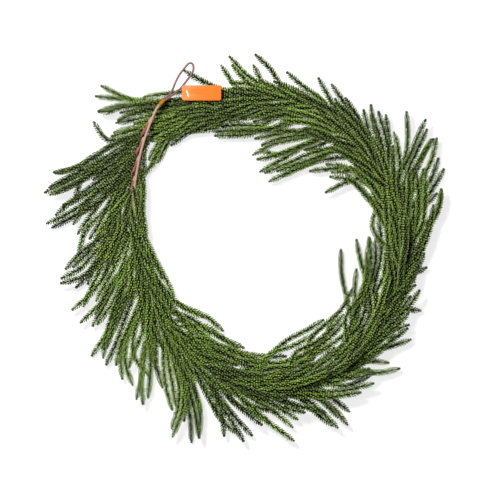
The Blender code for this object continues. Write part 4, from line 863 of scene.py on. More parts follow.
def clear_cores(cores, resting, owners, twigs, stem):
    """The cores' points moved until every core clears the other sprays, the stem and the tag."""
    starts = np.cumsum([0] + [len(core) for core in cores])
    behind, share, still, spray, radius = spots_to_clear(cores, starts, owners, twigs, stem)
    moving = len(behind)
    roots = [(starts[number], starts[host], *place_on(cores[host], cores[number][0]))
             for number, (_, host, _, _) in enumerate(owners) if host >= 0]
    start = np.vstack(cores)
    free = np.ones(start.shape)
    free[starts[:-1]] = 0.0
    lowest = np.full(len(start), LOWEST_LINE)
    lowest[starts[:-1]] = 0.0
    for number, index in resting:
        free[starts[number] + index, 2] = 0.0
        lowest[starts[number] + index - 1:starts[number] + index + 1] = REST_HEIGHT
    inner = np.setdiff1d(np.arange(len(start)), np.append(starts[:-1], starts[1:] - 1))
    points, shift = start, np.zeros_like(start)
    for turn in range(CLEAR_TURNS):
        spots = points[behind] * (1.0 - share) + points[behind + 1] * share
        places = np.vstack((spots, still))
        if turn % CLEAR_LOOK == 0:
            first, second = near_pairs(places, 2.0 * CORE_RADIUS + CORE_GAP + CLEAR_MARGIN).T
            keep = (spray[first] != spray[second]) & (first < moving)
            first, second = first[keep], second[keep]
            wanted = radius[first] + radius[second] + CORE_GAP
        push = pushed_off(places, first, second, wanted, PASS_OVER * (second >= moving))
        moves = np.zeros_like(start)
        for ends, pushes in ((first, push), (second[second < moving], -push[second < moving])):
            np.add.at(moves, behind[ends], pushes * (1.0 - share[ends]) * CLEAR_PUSH)
            np.add.at(moves, behind[ends] + 1, pushes * share[ends] * CLEAR_PUSH)
        shift += moves * free
        if turn < SPREAD_TURNS:
            own, beside = CLEAR_BLEND
            blend = own * shift[inner] + beside * (shift[inner - 1] + shift[inner + 1])
            shift[inner] = blend * free[inner]
        points = start + shift
        points[:, 2] = np.maximum(points[:, 2], lowest)
        for own, host, index, part in roots:
            points[own] = points[host + index] * (1.0 - part) + points[host + index + 1] * part
    return [points[a:b] for a, b in zip(starts, starts[1:])]


def layout():
    """The stem, the sprigs' cores, what each one grows from, and the twigs."""
    draw = random.Random(SEED)
    stem = Stem()
    stations, sprays = plan_sprigs(stem, draw)
    lines, owners, twigs = lay_sprigs(stem, stations, sprays, draw)
    cores, resting = cut_cores(settle(lines, owners, stem), owners)
    return stem, clear_cores(cores, resting, owners, twigs, stem), owners, twigs


def cover_lines(stem, twigs, draw):
    """Sprigs from each twig that run on over the stem, each with its spray's number."""
    found = []
    for i, twig in enumerate(twigs):
        station = FIRST_SPRAY + i * SPRAY_SPACING
        if station < COVER_FROM:
            continue
        end, _, outward = stem.at(station + TWIG_LENGTH)
        own_side = math.copysign(1.0, float((twig[-1] - end) @ outward))
        roots = line_through(twig, TWIG_STEPS + 1)
        ways = COVER_WAYS[:len(COVER_WAYS) - i % 2]
        for number, (way, least, most) in enumerate(ways):
            start = station + (COVER_FIRST + COVER_NEXT * number) * TWIG_LENGTH
            run = draw.uniform(*COVER_LENGTH)
            side = way * own_side
            outer = int(side > 0.0)
            aside = side * foliage_reach(start + run)[outer] * draw.uniform(least, most)
            straight, onward, level = stem.at(start)
            bow = COVER_BOW[outer]
            knots = [roots[int((start - station) / TWIG_LENGTH * TWIG_STEPS)]]
            for share in COVER_COURSE:
                spot, _, outward = stem.at(start + run * share)
                spot = ((spot + outward * aside * share) * bow
                        + (straight + onward * run * share + level * aside * share) * (1.0 - bow))
                spot[2] += COVER_RISE
                knots.append(spot)
            found.append((i, line_through(knots, LINE_POINTS)))
    return found


def extra_lines(stem, twigs, draw):
    """The sprigs whose course is given, each with the number of the spray that it grows from."""
    found = []
    for number, given in enumerate(EXTRA_SPRIGS):
        start = given_start(stem, given, TAIL_START if number in TAIL_EXTRAS else 0.0)
        i = int(round((start - TWIG_LENGTH / 2.0 - FIRST_SPRAY) / SPRAY_SPACING))
        i = min(max(i, 0), len(twigs) - 1)
        root = line_through(twigs[i], TWIG_STEPS + 1)[EXTRA_ROOT]
        found.append((i, given_line(root, given, draw.uniform(*EXTRA_HEIGHT))))
    return found


def cover_sprigs(stem, cores, twigs):
    """More sprigs from the twigs, laid on top of what is there, each with its spray's number."""
    draw = np.random.default_rng(SEED_OF_COVERS)
    covers = cover_lines(stem, twigs, draw)
    sprays, lines = zip(*covers, *extra_lines(stem, twigs, draw))
    lines = np.array(lines)
    top = np.full(lines.shape[:2], TOP_OF_FOLIAGE)
    bare = [stem.at(along)[0] for along in np.arange(-BARE_BEFORE, LEADER_BARE, BARE_STEP)]
    bare = np.array(bare + list(line_through(LOOP_ROUTE, BARE_LOOP_POINTS)))
    moving = lines.shape[0] * lines.shape[1]
    still = np.vstack([line_points(core, STILL_STEP) for core in cores] + [fixed_points(stem)])
    owner = np.concatenate((np.repeat(np.arange(len(lines)), LINE_POINTS), np.full(len(still), -1)))
    coming_free = np.clip(np.arange(LINE_POINTS) / COVER_LOOSENS, 0.0, 1.0)
    loose = np.tile(coming_free[None, :, None], (len(lines), 1, 3)) * COVER_FREEDOM
    loose[len(covers):, :, :2] = coming_free[:, None] * EXTRA_FREEDOM
    shift = np.zeros_like(lines)
    for turn in range(COVER_TURNS):
        points = np.vstack(((lines + shift).reshape(-1, 3), still))
        if turn % SETTLE_LOOK == 0:
            first, second = near_pairs(points, COVER_SPACING + SETTLE_MARGIN).T
            keep = (first < moving) & (owner[first] != owner[second])
            first, second = first[keep], second[keep]
        moves = moves_apart(points, first, second, COVER_SPACING, COVER_LIFT * (second >= moving))
        shift += moves[:moving].reshape(lines.shape) * loose
        even_out(shift)
        laid = lines + shift
        level = np.linalg.norm(laid[:, :, None, :2] - bare[None, None, :, :2], axis=3)
        under = np.min(level, axis=2) < UNDER_REACH
        roof = np.where(under, bare[np.argmin(level, axis=2), 2] - UNDER_LEADER, top)
        by_tag = over_tag(laid[:, :, 0], laid[:, :, 1], BY_TAG)
        roof = np.where(by_tag, TAG_CENTRE[2] - UNDER_LEADER, roof)
        roof[:, :COVER_ROOT] = top[:, :COVER_ROOT]
        shift[:, :, 2] -= np.maximum(laid[:, :, 2] - roof, 0.0)
        shift[:, :, 2] = np.maximum(shift[:, :, 2], LOWEST_LINE - lines[:, :, 2])
        shift[:, 0] = 0.0
    return list(zip(sprays, lines + shift))


def add_object(name, data):
    """An object of the data, in the scene's collection."""
    thing = bpy.data.objects.new(name, data)
    bpy.context.scene.collection.objects.link(thing)
    return thing


class Shape:
    """Gathers triangles with their material and growth values, and makes one object of them."""

    def __init__(self):
        self.spots, self.faces, self.growth, self.kinds, self.flats = [], [], [], [], []
        self.count = 0

    def add(self, spots, faces, growth, kind=0, flat=False):
        """Takes points in millimetres, triangles on them, and three growth values a point."""
        self.flats.append(np.full(len(faces), flat))
        self.spots.append(spots)
        self.faces.append(faces + self.count)
        self.growth.append(np.broadcast_to(growth, (len(spots), 3)))
        self.kinds.append(np.full(len(faces), kind, dtype=np.int32))
        self.count += len(spots)

    def make(self, name, materials):
        """The object, shaded smooth where it isn't flat, in the scene's collection."""
        spots, faces = np.vstack(self.spots), np.vstack(self.faces).astype(np.int32)
        mesh = bpy.data.meshes.new(name)
        mesh.vertices.add(len(spots))
        mesh.vertices.foreach_set("co", (spots * MM).astype(np.float32).ravel())
        mesh.loops.add(faces.size)
        mesh.loops.foreach_set("vertex_index", faces.ravel())
        mesh.polygons.add(len(faces))
        mesh.polygons.foreach_set("loop_start", np.arange(0, faces.size, 3, dtype=np.int32))
        mesh.polygons.foreach_set("material_index", np.concatenate(self.kinds))
        growth = mesh.attributes.new(GROWTH, "FLOAT_VECTOR", "POINT")
        growth.data.foreach_set("vector", np.vstack(self.growth).astype(np.float32).ravel())
        for material in materials:
            mesh.materials.append(material)
        mesh.update(calc_edges=True)
        mesh.shade_smooth()
        mesh.polygons.foreach_set("use_smooth", ~np.concatenate(self.flats))
        mesh.validate()
        return add_object(name, mesh)


def wall_faces(rings, sides, total):
    """Triangles between each ring of points and the next, the last of all joined to the first."""
    ring, side = np.meshgrid(np.arange(rings), np.arange(sides), indexing="ij")
    here = (ring * sides + side).ravel()
    beside = (ring * sides + (side + 1) % sides).ravel()
    return np.vstack((np.stack((here, beside, (beside + sides) % total), axis=1),
                      np.stack((here, (beside + sides) % total, (here + sides) % total), axis=1)))


def tube_faces(rings, sides):
    """Triangles of a closed tube: its rings one after another, then a point for each end."""
    turn = np.arange(sides)
    on = (turn + 1) % sides
    last = (rings - 1) * sides
    return np.vstack((wall_faces(rings - 1, sides, rings * sides),
                      np.stack((on, turn, np.full(sides, rings * sides)), axis=1),
                      np.stack((turn + last, on + last, np.full(sides, rings * sides + 1)), axis=1)))


def tube_spots(line, radii, sides):
    """Points of a tube round the line: radii is one for each ring, or one for each of its points."""
    _, across, ups = frames_along(line)
    angles = (np.arange(sides) * 2.0 * math.pi / sides)[None, :, None]
    out = across[:, None] * np.cos(angles) + ups[:, None] * np.sin(angles)
    reach = np.broadcast_to(np.asarray(radii, dtype=float).reshape(len(line), -1), (len(line), sides))
    rings = line[:, None] + out * reach[:, :, None]
    return np.vstack((rings.reshape(-1, 3), line[:1], line[-1:]))


def wound_wire(shape, line, radii, tape, ridge, tone, kind, sides=WIRE_SIDES):
    """A wire with tape wound round it: each turn of the tape lies on the one before with a low ridge."""
    turn = (distances(line)[:, None] / tape - np.arange(sides)[None, :] / sides) % 1.0
    spots = tube_spots(line, np.asarray(radii)[:, None] + ridge * (turn - 0.5), sides)
    growth = np.zeros((len(spots), 3))
    growth[:-2, 1] = turn.ravel()
    growth[:, 0] = tone
    shape.add(spots, tube_faces(len(line), sides), growth, kind)


class Guard:
    """Keeps needles out of the wires and the tag, and above the surface."""

    def __init__(self, stem):
        leader = line_points(stem.line, GUARD_STEP)
        loop = line_through(LOOP_ROUTE, GUARD_LOOP_POINTS)
        self.radii = [STEM_RADIUS] * len(leader) + [LOOP_RADIUS] * len(loop)
        self.tree = tree_of([*leader, *loop])

    def clear(self, *groups):
        """True for each needle whose waist and tip both lie outside the wires."""
        keep = np.ones(len(groups[0]), dtype=bool)
        for group in groups:
            for number, spot in enumerate(group):
                _, index, distance = self.tree.find(spot)
                if distance < self.radii[index] + GUARD_GAP:
                    keep[number] = False
        return keep

    def pressed(self, spots):
        """The points, those under the tag pressed down by it and none below the surface."""
        x, y, z = spots.T
        under = over_tag(x, y, GUARD_GAP) & (z < TAG_CENTRE[2] + TAG_PRESSES)
        low = np.where(under, np.minimum(z, TAG_CENTRE[2] - TAG_SIZE[2] / 2.0 - TAG_GAP), z)
        return np.stack((x, y, np.maximum(low, 0.0)), axis=1)


def add_needles(shape, line, along, settings, bare, tone, draw, guard):
    """The needles of one sprig, in rings that each are turned on from the ring before."""
    length = along[-1]
    count = settings.needles_round
    rings = np.arange(bare, length - LAST_RING, settings.ring_spacing / MM)
    number = np.repeat(np.arange(len(rings)), count)
    place = rings[number] + draw.uniform(-PLACE_STRAY, PLACE_STRAY, len(number))
    turn = np.tile(np.arange(count), len(rings)) + draw.uniform(0.0, 1.0)
    turn = turn + number * RING_TURN + draw.uniform(-TURN_STRAY, TURN_STRAY, len(number))
    grown = swelling(ROOT_SHARE, place - bare, GROWN_AFTER)
    eased = swelling(END_SHARE, length - place, EASES_OVER)
    size = np.minimum(grown, eased) * draw.uniform(*SIZE_STRAY, len(place))
    lean = swelling(END_LEAN, length - place, EASES_OVER)
    place = np.append(place, np.full(END_NEEDLES, length - CLOSING_BACK))
    turn = np.append(turn, np.arange(END_NEEDLES) * count / END_NEEDLES + CLOSING_TURN)
    size = np.append(size, np.full(END_NEEDLES, END_SHARE))
    lean = np.append(lean, np.full(END_NEEDLES, CLOSING_LEAN))[:, None]
    at, onward, across, up = (read_at(place, along, values) for values in (line, *frames_along(line)))
    angle = (turn * 2.0 * math.pi / count)[:, None]
    away = across * np.cos(angle) + up * np.sin(angle)
    reach = (settings.needle_length / MM * size)[:, None]
    foot = at + away * FOOT_SUNK * settings.core_radius / MM
    way_up, way_on = (away * np.sin(most * lean) + onward * np.cos(most * lean)
                      for most in (ROOT_LEAN, TIP_LEAN))
    waist = foot + way_up * (reach * NEEDLE_WAIST)
    tip = waist + way_on * (reach * (1.0 - NEEDLE_WAIST))
    keep = guard.clear(waist, tip)
    wide = np.cross(onward, away)
    thick = np.cross(way_up + way_on, wide) * 0.5
    width = (settings.needle_width / MM * (THIN_SHARE + (1.0 - THIN_SHARE) * size))[:, None]
    spots = [waist + (wide * x + thick * y) * width for x, y in NEEDLE_SECTION]
    spots = np.stack([foot, *spots, tip], axis=1)[keep]
    ends = ease((place - (length - DARK_END)) / DARK_END)[keep]
    # The stray is partly the needle's own tone and partly painted light and shade for each needle's angle
    # to the light
    tones = tone + draw.uniform(-NEEDLE_TONES, NEEDLE_TONES, len(ends))
    growth = np.zeros((len(ends), len(NEEDLE_PLACES), 3))
    growth[:, :, 0] = tones[:, None]
    growth[:, :, 1] = NEEDLE_PLACES
    growth[:, :, 2] = ends[:, None]
    faces = np.array(NEEDLE_FACES)[None] + len(NEEDLE_PLACES) * np.arange(len(ends))[:, None, None]
    spots, faces, growth = (values.reshape(-1, 3) for values in (spots, faces, growth))
    shape.add(guard.pressed(spots), faces, growth, flat=True)


def add_sprig(shape, core, settings, side_sprig, tone, draw, guard):
    """One sprig: its slim core, its bare root, and its needles."""
    length = float(step_lengths(core).sum())
    line = line_through(core, int(length / CORE_RING_STEP) + 2)
    along = distances(line)
    left = along[-1] - along
    bare = BARE_SIDE_ROOT if side_sprig else BARE_ROOT
    end_share, end_over = CORE_END
    root_share, root_over = CORE_ROOT
    radii = (settings.core_radius / MM * swelling(end_share, left, end_over)
             * swelling(root_share, along, root_over))
    spots = guard.pressed(tube_spots(line, radii, CORE_SIDES))
    # The core's place along a needle stays 0, so it gets the near-black painted shade of the needles' feet
    growth = np.zeros((len(spots), 3))
    growth[:-2, 2] = np.repeat(ease(1.0 - left / DARK_END), CORE_SIDES)
    growth[:, 0] = tone
    shape.add(spots, tube_faces(len(line), CORE_SIDES), growth)
    if not side_sprig:
        root = line_through(core, int(length) + 1)[:int(bare) + ROOT_TAPE_PAST]
        radii = np.linspace(1.0, ROOT_TAPER, len(root)) * settings.twig_radius / MM
        lap = settings.tape_width / MM * ROOT_LAP
        wound_wire(shape, root, radii, lap, ROOT_RIDGE, tone, 1, ROOT_SIDES)
    add_needles(shape, line, along, settings, bare, tone, draw, guard)


def add_binding(shape, stem, station, twig):
    """The tape over the stem and a twig's start: round before it, oval over both, a lip at its end."""
    root = line_through(twig, TWIG_RINGS)
    before, after = BINDING_REACH
    middles, across, halves = [], [], []
    for share in np.linspace(0.0, 1.0, BINDING_RINGS):
        here = station + before + (after - before) * share
        point, onward, _ = stem.at(here)
        beside = root[int(np.clip((here - station) / TWIG_LENGTH, 0.0, 1.0) * (TWIG_RINGS - 1))] - point
        beside = beside - onward * float(beside @ onward)
        taken = float(ease((here - station - before) / -before)) if here < station else 1.0
        reach = float(np.linalg.norm(beside)) * taken
        across.append(beside / np.linalg.norm(beside))
        middles.append(point + across[-1] * reach / 2.0)
        over = STEM_RADIUS + BINDING_THICKNESS
        halves.append((over + reach / 2.0 * BINDING_SHARE, over + BINDING_SWELL * taken))
    middles, across = np.array(middles), np.array(across)
    onward = np.gradient(middles, axis=0)
    onward = onward / np.linalg.norm(onward, axis=1)[:, None]
    lift = np.cross(onward, across)
    angles = np.arange(WIRE_SIDES) * 2.0 * math.pi / WIRE_SIDES
    turns = np.linspace(0.0, BINDING_TURNS, BINDING_RINGS)[:, None]
    turn = (turns - np.arange(WIRE_SIDES)[None, :] / WIRE_SIDES) % 1.0
    swell = 1.0 + BINDING_RIDGE * (turn - 0.5)
    wide, high = np.array(halves).T[:, :, None]
    rings = (middles[:, None] + across[:, None] * (wide * np.cos(angles) * swell)[:, :, None]
             + lift[:, None] * (high * np.sin(angles) * swell)[:, :, None])
    spots = np.vstack((rings.reshape(-1, 3), middles[:1], middles[-1:]))
    growth = np.full((len(spots), 3), 0.5)
    growth[:-2, 1] = turn.ravel()
    shape.add(spots, tube_faces(BINDING_RINGS, WIRE_SIDES), growth)


def oval(half, radius, count):
    """The outline of an oval, as points at even turns round it."""
    angles = np.arange(count) * 2.0 * math.pi / count
    across, up = np.cos(angles), np.sin(angles)
    flat = np.sign(across) * half * np.minimum(abs(across) * CRIMP_WAIST, 1.0)
    return np.stack((flat + radius * across, radius * up), axis=1)


def round_rectangle(length, width, corner):
    """The outline of a rectangle with round corners."""
    outline = []
    for quarter, (x, y) in enumerate(((1, 1), (-1, 1), (-1, -1), (1, -1))):
        for j in range(TAG_CORNER_STEPS + 1):
            angle = math.radians(90.0 * (quarter + j / TAG_CORNER_STEPS))
            outline.append((x * (length / 2 - corner) + corner * math.cos(angle),
                            y * (width / 2 - corner) + corner * math.sin(angle)))
    return outline


def add_node(tree, kind, settings=None, inputs=None):
    """Adds a node, sets its properties, and feeds its inputs from values or from other nodes."""
    made = tree.nodes.new(kind)
    for name, value in (settings or {}).items():
        setattr(made, name, value)
    for name, value in (inputs or {}).items():
        if isinstance(value, bpy.types.NodeSocket):
            tree.links.new(value, made.inputs[name])
        else:
            made.inputs[name].default_value = value
    return made


def noise(tree, size, detail):
    """Noise on the piece, its patches about so many millimetres wide."""
    place = add_node(tree, "ShaderNodeTexCoord")
    return add_node(tree, "ShaderNodeTexNoise", None, {
        "Vector": place.outputs["Object"], "Scale": 1.0 / (size * MM), "Detail": detail}).outputs["Fac"]


def growth_values(tree):
    """The three growth values of the point."""
    growth = add_node(tree, "ShaderNodeAttribute", {"attribute_name": GROWTH})
    return add_node(tree, "ShaderNodeSeparateXYZ", None, {0: growth.outputs["Vector"]}).outputs


def work(tree, operation, *values, clamp=False):
    """One value worked out from the others."""
    return add_node(tree, "ShaderNodeMath", {"operation": operation, "use_clamp": clamp},
                    dict(enumerate(values))).outputs[0]


def stretch(tree, value, seen, made, smooth=False):
    """The value, what lies between the two seen ones brought to lie between the two made ones."""
    kind = "SMOOTHSTEP" if smooth else "LINEAR"
    return add_node(tree, "ShaderNodeMapRange", {"interpolation_type": kind}, {
        0: value, 1: seen[0], 2: seen[1], 3: made[0], 4: made[1]}).outputs[0]


def blend(tree, share, first, second):
    """The first colour, going over into the second one by the share."""
    first, second = (colour if isinstance(colour, bpy.types.NodeSocket) else (*colour, 1.0)
                     for colour in (first, second))
    return add_node(tree, "ShaderNodeMix", {"data_type": "RGBA"}, {
        0: share, 6: first, 7: second}).outputs[2]


def bumps(tree, height, strength, depth):
    """The surface's direction with bumps so many millimetres high."""
    return add_node(tree, "ShaderNodeBump", None, {
        "Height": height, "Strength": strength, "Distance": depth * MM}).outputs[0]


def start_material(name):
    """An empty node material, ready for its nodes."""
    material = bpy.data.materials.new(name)
    material.use_nodes = True
    material.node_tree.nodes.clear()
    return material, material.node_tree


def close_material(tree, inputs):
    """Adds the shader with its inputs, and the output."""
    shader = add_node(tree, "ShaderNodeBsdfPrincipled", None, inputs)
    output = add_node(tree, "ShaderNodeOutputMaterial", None, {"Surface": shader.outputs[0]})
    output.is_active_output = True


def needle_plastic(settings):
    """Soft polyethylene, injection moulded: waxy and half matt, so the light lies on it in a pale haze.

    Each sprig has its own green. A needle's dark foot and the near-black core are painted shade, its pale
    tip is a painted highlight, and the sprig's end is a dark olive.
    """
    material, tree = start_material("Moulded polyethylene needles")
    sprig, place, end = growth_values(tree)
    spread = work(tree, "MULTIPLY_ADD", noise(tree, TONE_PATCH, 3.0), TONE_SPREAD, -TONE_SPREAD / 2.0)
    tone = work(tree, "ADD", sprig, spread, clamp=True)
    green = blend(tree, tone, settings.deep_green, settings.yellow_green)
    # Painted shade: the needle's foot and the core go near-black, standing in for the shade between needles
    foot = stretch(tree, place, FOOT_SHADE_FADE, (0.0, 1.0), smooth=True)
    green = blend(tree, foot, settings.foot_shade_green, green)
    # Painted highlight: each needle is paled towards its tip
    pale = stretch(tree, place, TIP_HIGHLIGHT_FADE, (0.0, TIP_HIGHLIGHT_STRENGTH), smooth=True)
    green = blend(tree, pale, green, settings.tip_highlight_green)
    green = blend(tree, work(tree, "MULTIPLY", end, END_STRENGTH), green, settings.end_olive)
    grain = noise(tree, 1.2, 2.0)
    close_material(tree, {
        "Base Color": green, "Roughness": stretch(tree, grain, (0.3, 0.7), (0.5, 0.65)), "IOR": 1.51,
        "Specular IOR Level": 0.06, "Normal": bumps(tree, grain, 0.25, 0.1)})
    return material


def floral_tape(name, body, edge, roughness):
    """Waxed crepe paper tape, stretched and wound by hand: fine crinkles, and a darker line at each lap
    that is painted shade in the step where one turn lies on the one before.
    """
    material, tree = start_material(name)
    _, place, _ = growth_values(tree)
    # Painted shade: the low part of each lap, just past the step, goes to the edge colour
    lap = stretch(tree, place, (0.0, 0.3), (0.75, 0.0), smooth=True)
    mottle = stretch(tree, noise(tree, 5.0, 4.0), (0.35, 0.75), (0.0, 0.45))
    colour = blend(tree, work(tree, "MAXIMUM", lap, mottle), body, edge)
    # Crepe crinkles are about 0.3 mm apart; they are drawn three times as coarse, so that they show
    crinkle = bumps(tree, noise(tree, 0.9, 3.0), 0.6, 0.25)
    close_material(tree, {"Base Color": colour, "Roughness": roughness, "IOR": 1.45, "Normal": crinkle})
    return material


def drawn_brass(colour):
    """Drawn brass strip, pressed to shape: a warm half gloss, scuffed by the pliers."""
    material, tree = start_material("Pressed brass")
    scuff = noise(tree, 2.0, 4.0)
    close_material(tree, {
        "Base Color": blend(tree, scuff, colour, linear("#6e4712")), "Metallic": 1.0,
        "Roughness": stretch(tree, scuff, (0.3, 0.7), (0.42, 0.6)),
        "Normal": bumps(tree, scuff, 0.3, 0.15)})
    return material


def tag_board(settings):
    """Die-cut polypropylene board, dyed through: a low even gloss, and a painted sheen that pales its left
    end.
    """
    material, tree = start_material("Dyed polypropylene board")
    place = add_node(tree, "ShaderNodeTexCoord")
    spot = add_node(tree, "ShaderNodeSeparateXYZ", None, {0: place.outputs["Object"]})
    left = TAG_CENTRE[0] - TAG_SIZE[0] / 2.0
    # Painted sheen: the tag's left end is paled towards the sheen colour
    sheen_span = [(left + reach) * MM for reach in TAG_SHEEN]
    fade = stretch(tree, spot.outputs["X"], sheen_span, (0.8, 0.0), smooth=True)
    pale = work(tree, "MULTIPLY", fade, noise(tree, 30.0, 2.0))
    # The board's moulded grain is about 0.2 mm, and is drawn as coarse as it needs to show
    grain = bumps(tree, noise(tree, 1.0, 2.0), 0.12, 0.1)
    close_material(tree, {
        "Base Color": blend(tree, pale, settings.orange, settings.sheen_orange), "Roughness": 0.5,
        "IOR": 1.49, "Specular IOR Level": 0.2, "Normal": grain})
    return material


def nylon(colour):
    """Natural nylon, injection moulded: white, slightly see-through and softly glossy."""
    material, tree = start_material("Natural nylon")
    gloss = stretch(tree, noise(tree, 3.0, 2.0), (0.3, 0.7), (0.25, 0.4))
    close_material(tree, {
        "Base Color": (*colour, 1.0), "Roughness": gloss, "IOR": 1.53,
        "Subsurface Weight": 0.2, "Subsurface Scale": 1.0 * MM})
    return material


def light_table(settings):
    """Milk-white acrylic of a light table, lit from below: flat white, with only faint shadows."""
    material, tree = start_material("Milk-white acrylic")
    tint = blend(tree, noise(tree, 400.0, 1.0), settings.floor_white, linear("#888888"))
    close_material(tree, {
        "Base Color": tint, "Roughness": 0.9, "Specular IOR Level": 0.1,
        "Emission Color": (1.0, 1.0, 1.0, 1.0), "Emission Strength": settings.floor_glow})
    return material


def length_setting(name, description, millimetres):
    """A setting that is a length."""
    return FloatProperty(name=name, description=description, default=millimetres * MM, unit="LENGTH")


def colour_setting(name, description, code):
    """A setting that is a colour."""
    return FloatVectorProperty(name=name, description=description, default=linear(code), subtype="COLOR")


class SprigSettings(bpy.types.PropertyGroup):
    """Sizes and greens of the needled sprays."""

    needle_length: length_setting("Needle length", "Of the longest needles", 8.3)
    needle_width: length_setting("Needle width", "Of the longest needles, where they bend", 2.2)
    ring_spacing: length_setting("Ring spacing", "From one ring of needles to the next along a sprig", 4.5)
    needles_round: IntProperty(
        name="Needles round", description="Needles in each ring", default=7, min=3, max=12)
    core_radius: length_setting("Core radius", "Of the moulded core that carries the needles", 2.1)
    twig_radius: length_setting("Twig radius", "Of a spray's taped wire", 1.75)
    tape_width: length_setting("Tape lap", "Between two turns of the tape on a twig", 7.0)
    deep_green: colour_setting("Deep green", "Of the darker sprigs", "#0a210a")
    yellow_green: colour_setting("Yellow green", "Of the lighter sprigs", "#86ac34")
    # Painted shade: near-black for the core and the needles' feet, where the needles shade each other
    foot_shade_green: colour_setting("Foot green", "Of the core and the needles' feet", "#070f02")
    # Painted highlight on the needles' tips
    tip_highlight_green: colour_setting("Tip green", "Of the needles' tips", "#bad081")
    end_olive: colour_setting("End olive", "Of the sprigs' ends", "#23290c")


class TapeSettings(bpy.types.PropertyGroup):
    """Sizes and colours of the taped wires."""

    lap: length_setting("Tape lap", "Between two turns of the tape on the stem", 9.0)
    loop_lap: length_setting("Loop tape lap", "Between two turns of the tape on the loop", 6.0)
    ridge: length_setting("Lap ridge", "Height of the ridge where the tape laps", 0.35)
    stem_body: colour_setting("Stem tape", "Colour of the stem's tape", "#a8867a")
    # The edge colours below are painted shade at each lap of the tape, and also the tape's mottle
    stem_edge: colour_setting("Stem tape edge", "Colour at the tape's laps and crinkles", "#74443c")
    loop_body: colour_setting("Loop tape", "Colour of the loop's tape", "#6e4a48")
    loop_edge: colour_setting("Loop tape edge", "Colour at the loop tape's laps", "#452a2b")
    twig_body: colour_setting("Twig tape", "Colour of the twigs' tape", "#8a5548")
    twig_edge: colour_setting("Twig tape edge", "Colour at the twig tape's laps", "#5d352c")


class FittingSettings(bpy.types.PropertyGroup):
    """Colours and small sizes of the crimp, the tag and its pin."""

    brass: colour_setting("Brass", "Colour of the crimp", "#6a4411")
    pinch: length_setting("Pinch", "How far the pliers pressed the crimp in", 0.3)
    orange: colour_setting("Orange", "Colour of the tag", "#ec6200")
    # A painted sheen on the tag's left end, not wear
    sheen_orange: colour_setting("Worn orange", "Colour of the tag's handled end", "#f07c3c")
    tag_edge: length_setting("Tag edge", "Radius of the tag's rounded edges", 0.3)
    nylon: colour_setting("Nylon", "Colour of the pin", "#f4f1ea")


class StageSettings(bpy.types.PropertyGroup):
    """The floor, the light and the camera."""

    view_width: length_setting("View width", "What the picture spans at the foliage's height", 900.0)
    lens: FloatProperty(name="Lens", description="Focal length in millimetres", default=200.0)
    floor_size: length_setting("Floor size", "Side of the floor", 24000.0)
    floor_white: colour_setting("Floor white", "Colour of the floor", "#808080")
    floor_glow: FloatProperty(
        name="Floor glow", description="Strength of the light from below the floor", default=0.78)
    key_power: FloatProperty(name="Key light", description="Power in watts", default=120.0)
    fill_power: FloatProperty(name="Fill light", description="Power in watts", default=3.0)
    sky: FloatProperty(name="Sky", description="Strength of the light from all round", default=0.12)


def garland_layout():
    """The layout, worked out once for all the operators."""
    if not hasattr(garland_layout, "made"):
        garland_layout.made = layout()
    return garland_layout.made


def put(piece, slot, *nodes):
    """The piece rides on the garland and stands for the nodes, which are hidden. The slot is not used."""
    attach(piece, BODY)
    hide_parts(*nodes)


class GARLAND_OT_sprays(bpy.types.Operator):
    """Build every spray: its taped twig and its needled sprigs."""

    bl_idname = "garland.sprays"
    bl_label = "Build the sprays"

    def execute(self, context):
        settings, tapes = context.scene.garland_sprigs, context.scene.garland_tapes
        stem, cores, owners, twigs = garland_layout()
        materials = (needle_plastic(settings),
                     floral_tape("Brown crepe tape", tapes.twig_body, tapes.twig_edge, 0.8))
        draw = np.random.default_rng(SEED_OF_NEEDLES)
        guard = Guard(stem)
        covers = cover_sprigs(stem, cores, twigs)
        for i, twig in enumerate(twigs):
            shape = Shape()
            line = line_through(twig, TWIG_RINGS)
            radii = np.full(len(line), settings.twig_radius / MM)
            wound_wire(shape, line, radii, settings.tape_width / MM, TWIG_RIDGE, MIDDLE_TONE, 1, TWIG_SIDES)
            tone = draw.uniform(*SPRAY_TONES)
            sprigs = [(core, host >= 0) for core, (spray, host, _, _) in zip(cores, owners) if spray == i]
            sprigs += [(core, False) for spray, core in covers if spray == i]
            for core, side_sprig in sprigs:
                own = tone + draw.uniform(*SPRIG_TONES)
                add_sprig(shape, core, settings, side_sprig, own, draw, guard)
            piece = shape.make(f"needled_spray_{i + 1:02d}", materials)
            put(piece, "foliage", f"spray_{i + 1:02d}")
        return {"FINISHED"}


class GARLAND_OT_stem(bpy.types.Operator):
    """Build the taped stem with the binding over each twig's start."""

    bl_idname = "garland.stem"
    bl_label = "Build the stem"

    def execute(self, context):
        tapes = context.scene.garland_tapes
        stem, _, _, twigs = garland_layout()
        shape = Shape()
        route = np.array(list(STEM_END) + list(stem.bends))
        length = float(step_lengths(route).sum())
        line = line_through(route, int(length / WIRE_RING_STEP))
        along = np.linspace(0.0, length, len(line))
        first, over = STEM_THICKENS
        radii = STEM_END_RADIUS + (STEM_RADIUS - STEM_END_RADIUS) * ease((along - first) / over)
        wound_wire(shape, line, radii, tapes.lap / MM, tapes.ridge / MM, MIDDLE_TONE, 0)
        for i, twig in enumerate(twigs):
            add_binding(shape, stem, FIRST_SPRAY + i * SPRAY_SPACING, twig)
        material = floral_tape("Pinkish crepe tape", tapes.stem_body, tapes.stem_edge, 0.7)
        put(shape.make("taped_stem", [material]), "paper_tape", "stem")
        return {"FINISHED"}


